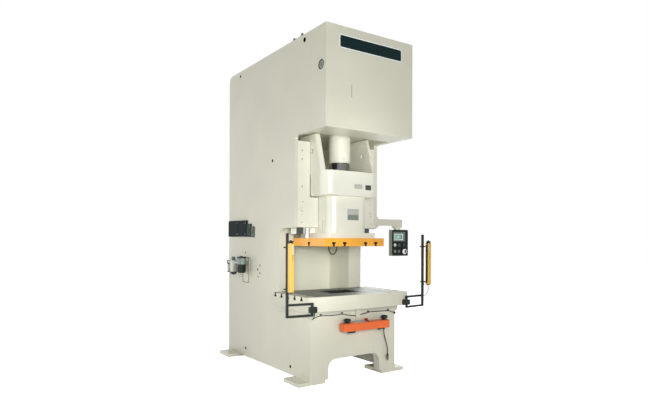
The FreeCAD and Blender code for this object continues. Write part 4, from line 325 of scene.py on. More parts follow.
frame_paint = paint("frame_enamel", CREAM)
# The side plates' enamel carries painted shade low down at the rear.
side_paint = paint("side_enamel", CREAM, marks=side_painted_shade)
cover_paint = paint("cover_enamel", CREAM, marks=cover_seams)
slide_paint = paint("slide_enamel", SLIDE_CREAM, roughness=0.24, wear=0.25, coat=0.25)
gib_paint = paint("gib_enamel", shade(SLIDE_CREAM, 0.98), roughness=0.3)
# Darker cream that paints the shade inside the cover's upright groove.
groove_shade_paint = paint("recess_enamel", shade(CREAM, 0.5), roughness=0.5)
bracket_paint = dark_paint("bracket_enamel", BRACKET_GREEN)
yellow_paint = paint("curtain_enamel", YELLOW, roughness=0.38, wear=0.5, grime=0.0)
station_paint = paint("station_enamel", STATION, roughness=0.36, wear=0.4, worn=(0.35, 0.30, 0.26),
                      grime=0.0, marks=station_seam)
box_paint = dark_paint("box_enamel", BLUE_BLACK, worn=(0.05, 0.06, 0.06), specular=0.07)
box_grey = dark_paint("box_enamel_grey", (0.024, 0.040, 0.032), specular=0.12)
box_pale = dark_paint("box_enamel_pale", (0.095, 0.115, 0.105))
pendant_side = paint("pendant_enamel", (0.29, 0.315, 0.245), roughness=0.42, grime=0.0, specular=0.3)
pendant_front = dark_paint("pendant_front", (0.004, 0.006, 0.005), wear=0.3)
pendant_frame = dark_paint("pendant_frame", (0.066, 0.080, 0.072), wear=0.3)
pendant_line = dark_paint("pendant_line", (0.270, 0.310, 0.285), wear=0.3)
motor_paint = paint("motor_enamel", (0.03, 0.09, 0.13), worn=(0.15, 0.15, 0.15), wear=0.5)
bore_black = paint("bore_shadow", (0.004, 0.004, 0.003), roughness=0.8, coat=0.0, specular=0.05, grime=0.0)
bright_steel = steel("ground_steel", (0.52, 0.53, 0.53), 0.18, 14.0, (1, 1, 40))
chrome = steel("plunger_steel", (0.190, 0.195, 0.190), 0.07, 12.0, (1, 1, 30), depth=0.02)
liner_steel = steel("liner_steel", (0.085, 0.100, 0.092), 0.42, 10.0, (4, 4, 60), metal=0.6)
post_steel = steel("post_steel", (0.50, 0.50, 0.46), 0.32, 12.0, (30, 30, 1), metal=0.7)
iron = steel("cast_iron", (0.16, 0.16, 0.16), 0.5, 220.0, metal=0.7, depth=0.3)
# Blackened steel, which also paints the shade on the floors of sockets and sunk middles.
bolt_black = steel("blacked_steel_and_socket_shade", (0.05, 0.05, 0.05), 0.42, 300.0, metal=0.8)
zinc = steel("zinc", (0.48, 0.48, 0.46), 0.34, 260.0)
brass = steel("brass", (0.62, 0.42, 0.15), 0.3, 200.0)
cast_aluminium = steel("cast_aluminium", (0.46, 0.48, 0.45), 0.46, 340.0, metal=0.8, depth=0.3)
fitting_grey = steel("fitting_grey", (0.22, 0.24, 0.20), 0.45, 260.0, metal=0.5)
black_plastic = plastic("black_plastic", (0.008, 0.010, 0.009), 0.26, specular=0.35)
palm_plastic = plastic("palm_plastic", (0.005, 0.012, 0.009), 0.32, specular=0.28)
guard_plastic = plastic("guard_plastic", (0.230, 0.020, 0.012), 0.34)
red_plastic = plastic("red_plastic", (0.42, 0.016, 0.012), 0.3, specular=0.35)
white_plastic = plastic("white_plastic", (0.74, 0.78, 0.72), 0.3, specular=0.5, glow=0.06)
grey_plastic = plastic("grey_plastic", (0.085, 0.115, 0.100), 0.36)
dim_plastic = plastic("dim_plastic", (0.050, 0.060, 0.052), 0.36)
green_plastic = plastic("green_plastic", (0.26, 0.32, 0.25), 0.3)
ash_plastic = plastic("ash_plastic", (0.145, 0.175, 0.165), 0.36)
cable_rubber = rubber("cable_rubber", (0.012, 0.013, 0.012))
grey_rubber = rubber("grey_rubber", (0.16, 0.16, 0.15))
belt_rubber = rubber("belt_rubber", (0.014, 0.014, 0.014), 0.7)
dark_glass = glass("dark_glass", (0.010, 0.013, 0.012), 0.08, 0.2)
oil_glass = glass("oil_glass", (0.006, 0.012, 0.009), 0.12, 0.2, 0.1, 0.25)
blue_glass = glass("blue_glass", (0.135, 0.180, 0.165), 0.14, 0.9, 0.3)
tube_glass = glass("tube_glass", (0.62, 0.72, 0.72), 0.12, 0.4)
clear_glass = glass("clear_glass", (0.46, 0.47, 0.38), 0.14, 0.7)
label_film = plastic("label_film", (0.52, 0.53, 0.47), 0.4)
# The faint glow of this pale film is painted light that brightens the sign's border.
glowing_white_film = plastic("glowing_white_film", (0.86, 0.93, 0.92), 0.4, glow=0.20)
curtain_film = plastic("curtain_film", (0.60, 0.58, 0.36), 0.4)
socket_grey = plastic("socket_grey", (0.27, 0.27, 0.20), 0.42)
plate_green = plastic("plate_green", (0.22, 0.26, 0.21), 0.4)
sign_board = dark_paint("sign_board", (0.004, 0.017, 0.019), wear=0.2, specular=0.10)


def bolster_material():
    """Painted sides and ends; the top is milled between the ends, and the slots are bare."""
    m = Material("bolster_finish")
    x, y, z = m.axes()
    low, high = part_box("bolster")
    flat = m.spread(m.facing_up(), 0.93, 0.97)
    out = m.math("ABSOLUTE", x)
    milled_half = 0.590
    milled = m.times(flat, m.spread(out, milled_half + 0.0015, milled_half))
    within = m.spread(out, high.x - 0.0005, high.x - 0.0015)
    inside = m.times(m.spread(z, high.z - 0.0002, high.z - 0.0015), within)
    middle, half = (low.y + high.y) / 2, (high.y - low.y) / 2
    front_or_rear = m.near(y, middle, half - 0.0065, 0.001)
    hollow = m.times(inside, front_or_rear)
    marks = m.noise(16.0, 3.0, (0.6, 34.0, 34.0))
    sweep = m.noise(3.0, 3.0, (0.7, 2.0, 2.0))
    metal = m.blend(m.spread(sweep, 0.3, 0.7), (0.225, 0.240, 0.207), (0.335, 0.350, 0.312))
    metal = m.blend(m.spread(marks, 0.35, 0.65, 0.0, 0.5), metal, (0.172, 0.184, 0.162))
    oil = m.noise(9.0, 5.0)
    metal = m.blend(m.spread(oil, 0.60, 0.72, 0.0, 0.45), metal, (0.115, 0.122, 0.104))
    metal = m.blend(hollow, metal, (0.030, 0.034, 0.027))
    clouds = m.noise(1.7, 3.0)
    cream = m.blend(m.spread(clouds, 0.35, 0.65), shade(CREAM, 0.97), shade(CREAM, 1.03))
    rubbed = m.times(m.edges(0.003), m.spread(m.noise(30.0, 4.0), 0.42, 0.6, 0.0, 0.7))
    cream = m.blend(rubbed, cream, (0.24, 0.24, 0.22))
    bare = m.math("MAXIMUM", milled, hollow)
    m.set(Base_Color=m.blend(bare, cream, metal))
    m.set(Metallic=m.times(bare, 0.30), Specular_IOR_Level=0.30)
    m.set(Roughness=m.math("ADD", m.spread(marks, 0.3, 0.7, -0.05, 0.07), 0.52))
    m.bump(m.times(marks, bare), 0.12, 0.0005, m.soft_normal(0.003))
    return m.data


def slide_plate_material():
    """Orange enamel, with the ground underside and the slots left bare."""
    m = Material("slide_plate_finish")
    x, y, z = m.axes()
    low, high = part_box("slide_plate")
    down = m.spread(m.facing_up(), -0.9, -0.98)
    underside = m.spread(z, low.z + 0.0025, low.z + 0.0015)
    middle, half = (low.y + high.y) / 2, (high.y - low.y) / 2
    across = m.near(x, 0.0, high.x - 0.0015, 0.001)
    within = m.times(across, m.near(y, middle, half - 0.0015, 0.001))
    slot_top = 1.560
    slots = m.times(within, m.spread(z, slot_top, slot_top - 0.008))
    bare = m.math("MAXIMUM", m.times(down, underside), slots)
    clouds = m.noise(4.0, 4.0)
    enamel = m.blend(m.spread(clouds, 0.3, 0.7), shade(ORANGE, 0.90), shade(ORANGE, 1.06))
    chips = m.times(m.edges(0.003), m.spread(m.noise(45.0, 5.0), 0.48, 0.58, 0.0, 0.85))
    enamel = m.blend(chips, enamel, (0.50, 0.20, 0.03))
    scuffs = m.spread(m.noise(11.0, 5.0, (1.0, 1.0, 3.5)), 0.66, 0.74, 0.0, 0.35)
    enamel = m.blend(scuffs, enamel, (0.62, 0.26, 0.05))
    marks = m.noise(18.0, 3.0, (30.0, 0.8, 1.0))
    metal = m.blend(marks, (0.10, 0.10, 0.095), (0.22, 0.22, 0.21))
    m.set(Base_Color=m.blend(bare, enamel, metal))
    m.set(Metallic=m.times(bare, 0.8), Roughness=m.spread(clouds, 0.3, 0.7, 0.30, 0.40))
    m.bump(m.noise(400.0, 1.0), 0.05, 0.0006, m.soft_normal(0.003))
    return m.data


def stop_material():
    """The pendant's stop button: a pale ring round a slightly sunk dark middle, with a faint painted glow.
    """
    m = Material("stop_finish")
    low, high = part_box("pendant_stop")
    x, _, z = m.axes()
    across = m.math("SUBTRACT", x, (low.x + high.x) / 2)
    along = m.math("SUBTRACT", z, (low.z + high.z) / 2)
    square = m.math("ADD", m.times(across, across), m.times(along, along))
    radius = m.math("SQRT", square)
    wear = m.noise(60.0, 4.0)
    pale = m.blend(m.spread(wear, 0.35, 0.7), (0.88, 0.89, 0.85), (0.95, 0.96, 0.93))
    dark = m.blend(m.spread(wear, 0.35, 0.7), (0.030, 0.034, 0.030), (0.075, 0.080, 0.072))
    middle = m.spread(radius, 0.0205, 0.0185)
    colour = m.blend(middle, pale, dark)
    m.set(Base_Color=colour, Roughness=m.spread(wear, 0.3, 0.7, 0.24, 0.36))
    # A faint glow over the button: painted light that brightens its pale ring.
    m.set(Emission_Color=colour, Emission_Strength=0.18)
    m.bump(m.math("ADD", m.noise(900.0, 1.0), m.times(middle, -2.0)), 0.12, 0.0006)
    return m.data


def screen_material():
    """The pendant's lit display: a pale border round a plain field, with a bar at its right."""
    m = Material("screen_finish")
    x, _, z = m.axes()
    middle, height = 1.017, 1.613
    field = m.times(m.near(x, middle, 0.058, 0.003), m.near(z, height, 0.027, 0.003))
    glow = m.times(m.near(x, middle - 0.012, 0.012, 0.030), m.near(z, height - 0.001, 0.006, 0.018))
    bar = m.times(m.near(x, middle + 0.051, 0.004, 0.002), m.near(z, height, 0.024, 0.003))
    colour = m.blend(field, (0.50, 0.63, 0.56), (0.20, 0.33, 0.29))
    colour = m.blend(glow, colour, (0.40, 0.64, 0.57))
    colour = m.blend(bar, colour, (0.10, 0.18, 0.16))
    smear = m.noise(40.0, 4.0)
    m.set(Base_Color=colour, Roughness=m.spread(smear, 0.3, 0.7, 0.12, 0.28))
    m.set(Emission_Color=colour, Emission_Strength=0.26)
    m.bump(smear, 0.03, 0.0003)
    return m.data


def give(material, *names):
    """Put one material on whole CAD nodes."""
    for name in names:
        slots = cad[name].data.materials
        slots.clear()
        slots.append(material)


def give_by(name, chooser, *materials):
    """Put several materials on a CAD node.  The chooser numbers each face by its middle and normal."""
    mesh = cad[name].data
    mesh.materials.clear()
    for material in materials:
        mesh.materials.append(material)
    for face in mesh.polygons:
        face.material_index = chooser(*(face.center / MM), face.normal)


# The holes in the side plates: distance behind the base's front, height and radius.
EYE_BORES = [(128, 3766, 26), (1754, 3768, 19), (848, 2526, 19), (1560, 146, 19), (411, 129, 19)]
OIL_PORTS = [(1585, 1403, 12), (1167, 1250, 12), (1232, 1195, 12), (1169, 1150, 12), (1218, 1103, 12)]
# The enclosures from the rear on: ends behind the base's front, floor, top, depth, number of their colour.
ENCLOSURES = [
    (1762, 2072, 1610, 1826, 24, 0), (1518, 1758, 1610, 1825, 24, 0),
    (1402, 1514, 1608, 1776, 20, 1), (1316, 1398, 1602, 1742, 16, 2),
]


def in_plate_bore(x, y, z, normal):
    """1 on the walls and floors of the side plates' holes."""
    if abs(x) > SIDE - 0.5:
        return 0
    behind = y - FRONT
    bores = EYE_BORES + OIL_PORTS
    return int(any(math.hypot(behind - far, z - high) < radius + 1 for far, high, radius in bores))


def cover_part(x, y, z, normal):
    """The cover's recesses, both painted dark as their shade: 1 the plug's, 2 the upright groove in its
    front.
    """
    plane, height = PLUG_PLACE
    if -SIDE + 0.5 < x < -SIDE + 15 and math.hypot(y - plane, z - height) < PLUG_RADIUS + 1:
        return 1
    left, right, bottom, top = -279, -271, 3092, 3227
    in_groove = left - 1 < x < right + 1 and bottom - 1 < z < top + 1
    return 2 if in_groove and y > COVER_FRONT + 0.5 else 0


def pendant_part(x, y, z, normal):
    """0 the sides, 1 the front and its bezels, 2 the stub that the arm holds."""
    if z > PENDANT_TOP + 0.5:
        return 2
    return int(y < PENDANT_FRONT + 4 and (normal.y < -0.5 or y < PENDANT_FRONT - 0.5))


def curtain_part(x, y, z, normal):
    """0 the housing, 1 the end caps, 2 the window in its inner side."""
    bottom, top, plane = 1043, 1530, -1249
    if z > top or z < bottom:
        return 1
    return int(abs(y - plane) < 16 and abs(x) < 942 and bottom + 16 < z < top - 9) * 2


def gib_bolt_part(x, y, z, normal):
    """1 on the floors of the sockets in the gibs' screws, painted dark as their shade."""
    socket_floor = -710
    return int(normal.y < -0.9 and abs(y - socket_floor) < 1.5)


def liner_part(x, y, z, normal):
    """0 the wear strips on the slide's wings, 1 the two stop posts."""
    post_offset = 400
    return int(abs(abs(x) - post_offset) < 34)


def box_part(x, y, z, normal):
    """The enclosures' colours, 2 the palest."""
    return next(box[-1] for box in ENCLOSURES if y > FRONT + box[0] - 2)


def station_part(x, y, z, normal):
    """0 the box, 1 the collars on its lid."""
    return int(z > STATION_LID + 0.5)


def socket_part(x, y, z, normal):
    """0 the clips, 1 the pale socket that takes the station's cable, 2 its dark nut."""
    socket_top, nut_foot = 300, 195
    if z > socket_top:
        return 0
    return 2 if z > nut_foot else 1


give(frame_paint, "base_box", "column_box", "crown_plates", "rear_plate", "foot_plates", "rear_door",
     "flywheel_guard", "pendant_arm")
for plate in ("side_plate_left", "side_plate_right"):
    give_by(plate, in_plate_bore, side_paint, bore_black)
give_by("crown_cover", cover_part, cover_paint, bore_black, groove_shade_paint)
give(slide_paint, "slide", "plunger_guide")
give(gib_paint, "gibs", "rear_guides")
give_by("gib_bolts", gib_bolt_part, gib_paint, bolt_black)
give(bolster_material(), "bolster")
give(slide_plate_material(), "slide_plate")
give(chrome, "plunger")
give(bright_steel, "clamp_nut", "crosshead", "eccentric_shaft", "wrist_pin", "pinion_shaft", "shank_bush")
give(iron, "main_gear", "connecting_rod", "flywheel", "motor_pulley", "clutch")
give(brass, "bearing_bushes")
give_by("slide_liners", liner_part, liner_steel, post_steel)
give(motor_paint, "motor")
give(belt_rubber, "v_belts")
give(bracket_paint, "curtain_bracket_left", "curtain_bracket_right", "curtain_clamps")
for unit in ("light_curtain_left", "light_curtain_right"):
    give_by(unit, curtain_part, yellow_paint, black_plastic, dark_glass)
give_by("two_hand_box", station_part, station_paint, black_plastic)
give(palm_plastic, "palm_button_left", "palm_button_right")
give(black_plastic, "door_handle")
give(red_plastic, "station_stop")
give(stop_material(), "pendant_stop")
give_by("pendant_box", pendant_part, pendant_side, pendant_front, frame_paint)
give(white_plastic, "pendant_button_1")
give(grey_plastic, "pendant_button_2")
give(dim_plastic, "pendant_button_3")
give(green_plastic, "pendant_button_4")
give(ash_plastic, "pendant_button_5", "regulator_knob")
give_by("junction_boxes", box_part, box_paint, box_grey, box_pale)
give(fitting_grey, "top_breather")
give_by("cable_clips", socket_part, bolt_black, socket_grey, black_plastic)


# -------------------- pieces

class Shape:
    """The mesh of one piece, made of boxes and turned bodies, in millimetres."""

    def __init__(self):
        self.mesh = bmesh.new()

    def block(self, low, high, material=0):
        """A box between two corners."""
        points = bmesh.ops.create_cube(self.mesh, size=1)["verts"]
        low, high = Vector(low), Vector(high)
        bmesh.ops.scale(self.mesh, vec=high - low, verts=points)
        bmesh.ops.translate(self.mesh, vec=(low + high) / 2, verts=points)
        for face in {face for point in points for face in point.link_faces}:
            face.material_index = material
        return points

    def wedge(self, low, high, front, material=0):
        """A box whose top slopes down to its front edge."""
        for point in self.block(low, high, material):
            if point.co.y < low[1] + 1 and point.co.z > high[2] - 1:
                point.co.z = front

    def frame(self, low, high, width, material=0):
        """Four bars round an upright rectangle that faces along Y."""
        (x0, y0, z0), (x1, y1, z1) = low, high
        self.block((x0, y0, z0), (x1, y1, z0 + width), material)
        self.block((x0, y0, z1 - width), (x1, y1, z1), material)
        self.block((x0, y0, z0 + width), (x0 + width, y1, z1 - width), material)
        self.block((x1 - width, y0, z0 + width), (x1, y1, z1 - width), material)

    def turned(self, start, axis, profile, material=0, end=None, sides=28, closed=False):
        """A turned body.  Its profile gives distance along the axis and radius, from end to end.

        The end material goes on its last face.  A closed one is a ring with no end faces.
        """
        turn = Vector(axis).to_track_quat("Z", "Y").to_matrix()
        rings = []
        for along, radius in profile:
            ring = []
            for side in range(sides):
                angle = 2 * math.pi * (side + 0.5) / sides
                spot = Vector((radius * math.cos(angle), radius * math.sin(angle), along))
                ring.append(self.mesh.verts.new(Vector(start) + turn @ spot))
            rings.append(ring)
        pairs = list(zip(rings, rings[1:])) + ([(rings[-1], rings[0])] if closed else [])
        for first, second in pairs:
            for side in range(sides):
                after = (side + 1) % sides
                face = self.mesh.faces.new((first[side], first[after], second[after], second[side]))
                face.material_index = material
                face.smooth = sides > 8
        if not closed:
            self.mesh.faces.new(rings[0][::-1]).material_index = material
            self.mesh.faces.new(rings[-1]).material_index = material if end is None else end

    def screw(self, spot, axis, radius, height, material=0, socket=1):
        """A socket-head screw standing on a face.  The floor of its socket takes the socket material, dark
        as painted shade.
        """
        profile = [(-0.1, radius), (height * 0.8, radius), (height, radius * 0.84), (height, radius * 0.5),
                   (height * 0.4, radius * 0.46)]
        self.turned(spot, axis, profile, material, socket, sides=24)

    def rivet(self, spot, axis, radius, height, material=0):
        """A round-headed rivet standing on a face."""
        steps = [math.radians(angle) for angle in (0, 25, 50, 75)]
        profile = [(height * math.sin(step), radius * math.cos(step)) for step in steps]
        self.turned(spot, axis, profile, material, sides=16)

    def place(self, name, body, slot, *materials, rounding=0.4):
        """Make the object, with rounded edges, riding on a body."""
        bmesh.ops.recalc_face_normals(self.mesh, faces=self.mesh.faces)
        bmesh.ops.scale(self.mesh, vec=(MM, MM, MM), verts=self.mesh.verts)
        data = bpy.data.meshes.new(name)
        self.mesh.to_mesh(data)
        self.mesh.free()
        for material in materials:
            data.materials.append(material)
        piece = add_object(name, data)
        edges = piece.modifiers.new("edges", "BEVEL")
        edges.width = rounding * MM
        edges.segments = 2
        edges.limit_method = "ANGLE"
        edges.angle_limit = math.radians(40)
        edges.harden_normals = True
        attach(piece, body)
        return piece


def span(node):
    """A node's lowest and highest corners in millimetres."""
    low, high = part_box(node)
    return low / MM, high / MM


def sign():
    """The bare dark board in the cover's recess, with rivets and a pale border whose faint glow is painted
    light.
    """
    front = COVER_FRONT
    left, right, bottom, top = -436, 436, 3597, 3739
    border, inset = 8.5, 19
    shape = Shape()
    shape.block((left, front + 1.0, bottom), (right, front + 2.5, top))
    shape.frame((left, front + 0.5, bottom), (right, front + 1.2, top), border, 1)
    for x in (left + inset, right - inset):
        for z in (bottom + inset, top - inset):
            shape.rivet((x, front + 1.0, z), FORWARD, 3.2, 0.8, 2)
    shape.place("sign_board", "root", "bracket_paint", sign_board, glowing_white_film, zinc, rounding=0.3)


def cover_plug():
    """The plug in the cover's left side: a dark ring round a pressed disc."""
    floor = (-SIDE + 6, *PLUG_PLACE)
    ring = [(0, 43), (4.6, 43.5), (5.4, 46), (4.6, 51), (0, 51.5)]
    disc = [(0, 43), (2.6, 42), (3.6, 36), (3.9, 18), (3.9, 10), (2.6, 9)]
    shape = Shape()
    shape.turned(floor, LEFT, ring, 1, sides=48, closed=True)
    # The disc's dark sunk middle is painted shade.
    shape.turned(floor, LEFT, disc, 0, end=1, sides=48)
    shape.place("cover_plug", "root", "fitting_metal", fitting_grey, bolt_black)


def housing_fittings():
    """The gauge window in the slide's housing, and the bare label beside it."""
    face = HOUSING_FRONT
    left, right, bottom, top, rim = 166, 249, 2153, 2208, 4
    shape = Shape()
    shape.frame((left, face + 0.4, bottom), (right, face + 3.4, top), rim, 1)
    shape.block((left + rim, face + 4.5, bottom + rim), (right - rim, face + 7.0, top - rim), 0)
    for x in range(left + 18, right - 9, 14):
        shape.block((x, face + 3.2, bottom + 13), (x + 9, face + 4.6, bottom + 33), 2)
    shape.place("gauge_window", "slide", "black_plastic", dark_glass, black_plastic, grey_plastic,
                rounding=0.5)

    left, right, bottom, top = 4, 120, 2160, 2213
    label = Shape()
    label.block((left, face - 0.8, bottom), (right, face + 0.4, top))
    label.frame((left + 4, face - 1.1, bottom + 4), (right - 4, face - 0.7, top - 4), 2.0, 1)
    for x in (left + 6, right - 6):
        for z in (bottom + 6, top - 6):
            label.rivet((x, face - 0.8, z), FORWARD, 2.6, 1.2, 1)
    label.place("housing_label", "slide", "fitting_metal", label_film, zinc, rounding=0.3)


def rating_plate():
    """The plate on the slide's neck: bare, in two plain fields."""
    face = NECK_FRONT
    left, right, bottom, middle, top = -39, 127, 1800, 1865, 1930
    shape = Shape()
    shape.block((left, face - 1.2, bottom), (right, face + 0.5, top), 0)
    shape.block((left + 6, face - 1.6, middle + 3), (right - 6, face - 1.1, top - 6), 1)
    shape.block((left + 6, face - 1.6, bottom + 6), (right - 6, face - 1.1, middle - 3), 2)
    for x in (left + 4, right - 4):
        for z in (bottom + 4, top - 4):
            shape.rivet((x, face - 1.2, z), FORWARD, 2.8, 1.4, 0)
    shape.place("rating_plate", "slide", "fitting_metal", cast_aluminium, label_film, plate_green,
                rounding=0.3)


def pendant_display():
    """The pendant's display in its stepped frame."""
    face = PENDANT_FRONT
    left, right, bottom, top = 919, 1135, 1551, 1684
    outer, strip = 9, 17        # width of the outer frame, and of the plain strip at its right
    shape = Shape()
    shape.frame((left, face - 2.2, bottom), (right, face + 0.2, top), outer, 0)
    shape.frame((left + outer, face - 3.4, bottom + outer), (right - strip, face + 0.2, top - outer), 8, 1)
    shape.block((left + 18, face + 0.8, bottom + 20), (right - 38, face + 2.9, top - 26), 2)
    shape.block((right - 35, face - 1.2, bottom + 17), (right - outer, face + 0.2, top - outer), 0)
    shape.place("pendant_display", "pendant", "black_plastic", pendant_frame, pendant_line,
                screen_material(), rounding=0.8)


def pendant_fixings():
    """The pendant's front screws, and its rear lid with its own."""
    low, high = span("pendant_box")
    inset, lid, lid_inset = 8, 10, 18       # front screws, edge of the rear lid, and its screws
    rear = PENDANT_REAR
    shape = Shape()
    for x in (low.x + inset, high.x - inset):
        for z in (low.z + inset, PENDANT_TOP - inset):
            shape.screw((x, PENDANT_FRONT, z), FORWARD, 4.0, 2.4)
    shape.block((low.x + lid, rear - 1.5, low.z + lid), (high.x - lid, rear + 1.5, PENDANT_TOP - lid), 2)
    for x in (low.x + lid_inset, high.x - lid_inset):
        for z in (low.z + lid_inset, PENDANT_TOP - lid_inset):
            shape.screw((x, rear + 1.4, z), BACK, 4.0, 2.4)
    shape.place("pendant_fixings", "pendant", "bolt_steel", zinc, bolt_black, pendant_side)


def curtain_label(side, name):
    """A light-curtain unit's bare label, slot, end screws, and the capped gland on its top."""
    low, high = span(f"light_curtain_{name}")
    outer, inner = (low.x, high.x) if side < 0 else (high.x, low.x)
    near, far = sorted((inner + side * 8, inner + side * 25))
    centre, across, middle = (near + far) / 2, (low.x + high.x) / 2, (low.y + high.y) / 2
    bottom, top, slot, low_screws, high_screws = 1424, 1524, 1362, 1052, 1528
    shape = Shape()
    shape.block((near, low.y - 0.5, bottom), (far, low.y + 0.3, top), 0)
    for z in range(bottom + 16, top - 26, 26):
        shape.block((near + 3, low.y - 0.8, z), (far - 3, low.y - 0.3, z + 9), 1)
    shape.block((centre - 3, low.y - 0.6, slot), (centre + 3, low.y + 0.3, bottom - 4), 3)
    shape.block((across - 19, middle - 19, high.z - 0.5), (across + 19, middle + 19, high.z + 12), 4)
    shape.turned((across, middle, high.z + 11), UP, [(0, 11), (6, 11), (9, 8), (11, 5)], 4, sides=24)
    for z in (low_screws, high_screws):
        for y in (middle - 15, middle + 15):
            shape.screw((outer, y, z), (side, 0, 0), 3.0, 1.6, 2, 3)
    shape.place(f"curtain_label_{name}", f"curtain_{name}", "curtain_yellow", curtain_film, label_film,
                zinc, bolt_black, black_plastic, rounding=0.3)


def clamp_screws(side, name):
    """The four screws in the front of a light-curtain bracket's clamp block."""
    block_front = -1215
    shape = Shape()
    for z in (823, 853):
        for x in (632, 684):
            shape.screw((side * x, block_front, z), FORWARD, 6.5, 6.0)
    shape.place(f"clamp_screws_{name}", "root", "bolt_steel", bolt_black, bore_black)


def station_top():
    """The two-hand station's sloping bare plate, the guard ring of its stop, and its lid screws."""
    low, high = span("two_hand_box")
    stop_low, stop_high = span("station_stop")
    middle = (stop_low + stop_high) / 2
    guard = [(-0.2, 37), (5, 36), (9, 33), (10, 30), (10, 25), (-0.2, 25)]
    left, right, lid = -88, 78, STATION_LID
    shape = Shape()
    shape.wedge((left, low.y + 8, lid - 0.2), (right, low.y + 59, lid + 18), lid + 3, 0)
    shape.turned((middle.x, middle.y, lid), UP, guard, 3, sides=40, closed=True)
    for x in (low.x + 12, -20, 230, high.x - 12):
        for y in (low.y + 8, -1090):
            shape.screw((x, y, lid), UP, 4.0, 2.6, 1, 2)
    shape.place("station_label", "root", "station_paint", label_film, zinc, bolt_black, guard_plastic)


def station_hangers():
    """The station's two brackets on the base's front, and the dark blocks under it."""
    low = span("two_hand_box")[0]
    half, reach, down = 32, 70, 26      # each bracket's half width, and how far it goes out and down
    shape = Shape()
    for x in (-120, 325):
        shape.block((x - half, FRONT - reach, low.z - 9), (x + half, FRONT - 2, low.z - 0.4), 0)
        shape.block((x - half, FRONT - 6, low.z - down), (x + half, FRONT - 0.4, low.z - 0.4), 0)
        for step in (-18, 18):
            shape.screw((x + step, FRONT - 6, low.z - 17), FORWARD, 4.5, 4.0, 1, 2)
    for left, right, drop in ((-150, -75, 22), (265, 305, 14), (318, 350, 14)):
        shape.block((left, low.y + 14, low.z - drop), (right, low.y + 69, low.z - 0.2), 0)
    shape.place("station_hangers", "root", "bracket_paint", bracket_paint, zinc, bolt_black, rounding=0.8)


def stack(shape, x, y, *parts):
    """Turned bodies on one upright axis, each with its profile, material and sides."""
    for profile, material, sides in parts:
        shape.turned((x, y, 0), UP, profile, material, sides=sides)


def add_oiler(shape, x, y):
    """The oiler: cap and plug, glass sight, belt and bowl, with a drain and its ring."""
    stack(shape, x, y,
          ([(1328, 59), (1329, 61), (1346, 61), (1350, 57), (1351, 22)], 1, 48),
          ([(1350, 20), (1356, 20), (1358, 17)], 1, 6),
          ([(1250, 57), (1252, 60), (1328, 60)], 2, 48),
          ([(1236, 58), (1237, 61), (1249, 61), (1250, 58)], 1, 48),
          ([(1138, 30), (1140, 46), (1147, 53), (1160, 57), (1180, 58), (1236, 58)], 3, 48),
          ([(1122, 7), (1124, 10), (1139, 11)], 6, 6))
    wire, reach = 4.5, 19
    turns = [math.radians(angle) for angle in range(0, 360, 45)]
    ring = [(wire * math.cos(turn), reach + wire * math.sin(turn)) for turn in turns]
    shape.turned((x, y, 1102), (0.4, -0.9, 0), ring, 6, closed=True)


def add_regulator(shape, x, y):
    """The regulator: head, clear bowl between two straps, and a dark cup."""
    stack(shape, x, y,
          ([(1280, 46), (1292, 46), (1296, 42)], 0, 40),
          ([(1141, 43), (1150, 45), (1270, 45), (1281, 43)], 4, 40),
          ([(1104, 8), (1106, 26), (1116, 40), (1130, 46), (1142, 47), (1143, 44)], 1, 40))
    bowl, foot = 45, 1136
    for angle in (-24.5, 155.5):
        turn = math.radians(angle)
        strap = (x + bowl * math.cos(turn), y + bowl * math.sin(turn), foot)
        shape.turned(strap, UP, [(0, 4), (3, 5.5), (142, 5.5), (145, 4)], 1, sides=12)


def add_wall_plate(shape, wall):
    """The plate behind the oiler, with a dark line along three edges and two screws."""
    near, far, low, high = 418, 590, 1010, 1345
    edge = 7
    shape.block((wall - 6, near, low), (wall - 0.2, far, high), 7)
    shape.block((wall - 8, near, low), (wall - 5.5, far, low + edge), 8)
    shape.block((wall - 8, near, low + edge), (wall - 5.5, near + edge, high), 8)
    shape.block((wall - 8, far - edge, low + edge), (wall - 5.5, far, high), 8)
    for z in (low + 24, high - 24):
        # The screws' dark socket floors are painted shade.
        shape.screw((wall - 6, near + 22, z), LEFT, 5.0, 4.0, 6, 1)


def air_unit():
    """Oiler, regulator and drain tube with their pipes."""
    x, wall = -690, -SIDE
    oiler, regulator, elbow, tube, pipe = 474, 722, 834, 888, 1270
    shape = Shape()
    add_oiler(shape, x, oiler)
    add_regulator(shape, x, regulator)
    for start, finish in ((oiler + 55, regulator - 42), (regulator + 42, elbow + 4)):
        shape.turned((x, start, pipe), BACK, [(0, 15), (finish - start, 15)], 0, sides=24)
        for nut in (start + 6, finish - 18):
            shape.turned((x, nut, pipe), BACK, [(0, 20), (1.5, 22), (10.5, 22), (12, 20)], 0, sides=6)
    shape.turned((x, elbow - 4, pipe), BACK, [(0, 15), (tube - elbow + 4, 15)], 0, sides=24)
    shape.turned((x - 18, elbow, pipe), RIGHT, [(0, 12), (4, 18), (wall - x + 18, 16)], 0, sides=24)
    shape.turned((wall - 14, elbow, pipe), RIGHT, [(0, 22), (1.5, 24), (14, 24)], 0, sides=6)
    stack(shape, x, tube,
          ([(1242, 15), (1244, 18), (1288, 18), (1292, 14)], 1, 24),
          ([(1142, 14), (1243, 14)], 5, 24),
          ([(1130, 8), (1134, 15), (1144, 15)], 1, 24))
    shape.block((x, oiler - 20, 1300), (wall - 5, oiler + 20, 1326), 0)
    add_wall_plate(shape, wall)
    piece = shape.place("air_unit_piece", "root", "fitting_metal", cast_aluminium, black_plastic,
                        blue_glass, oil_glass, clear_glass, tube_glass, zinc, frame_paint, box_grey)
    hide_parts("air_unit")


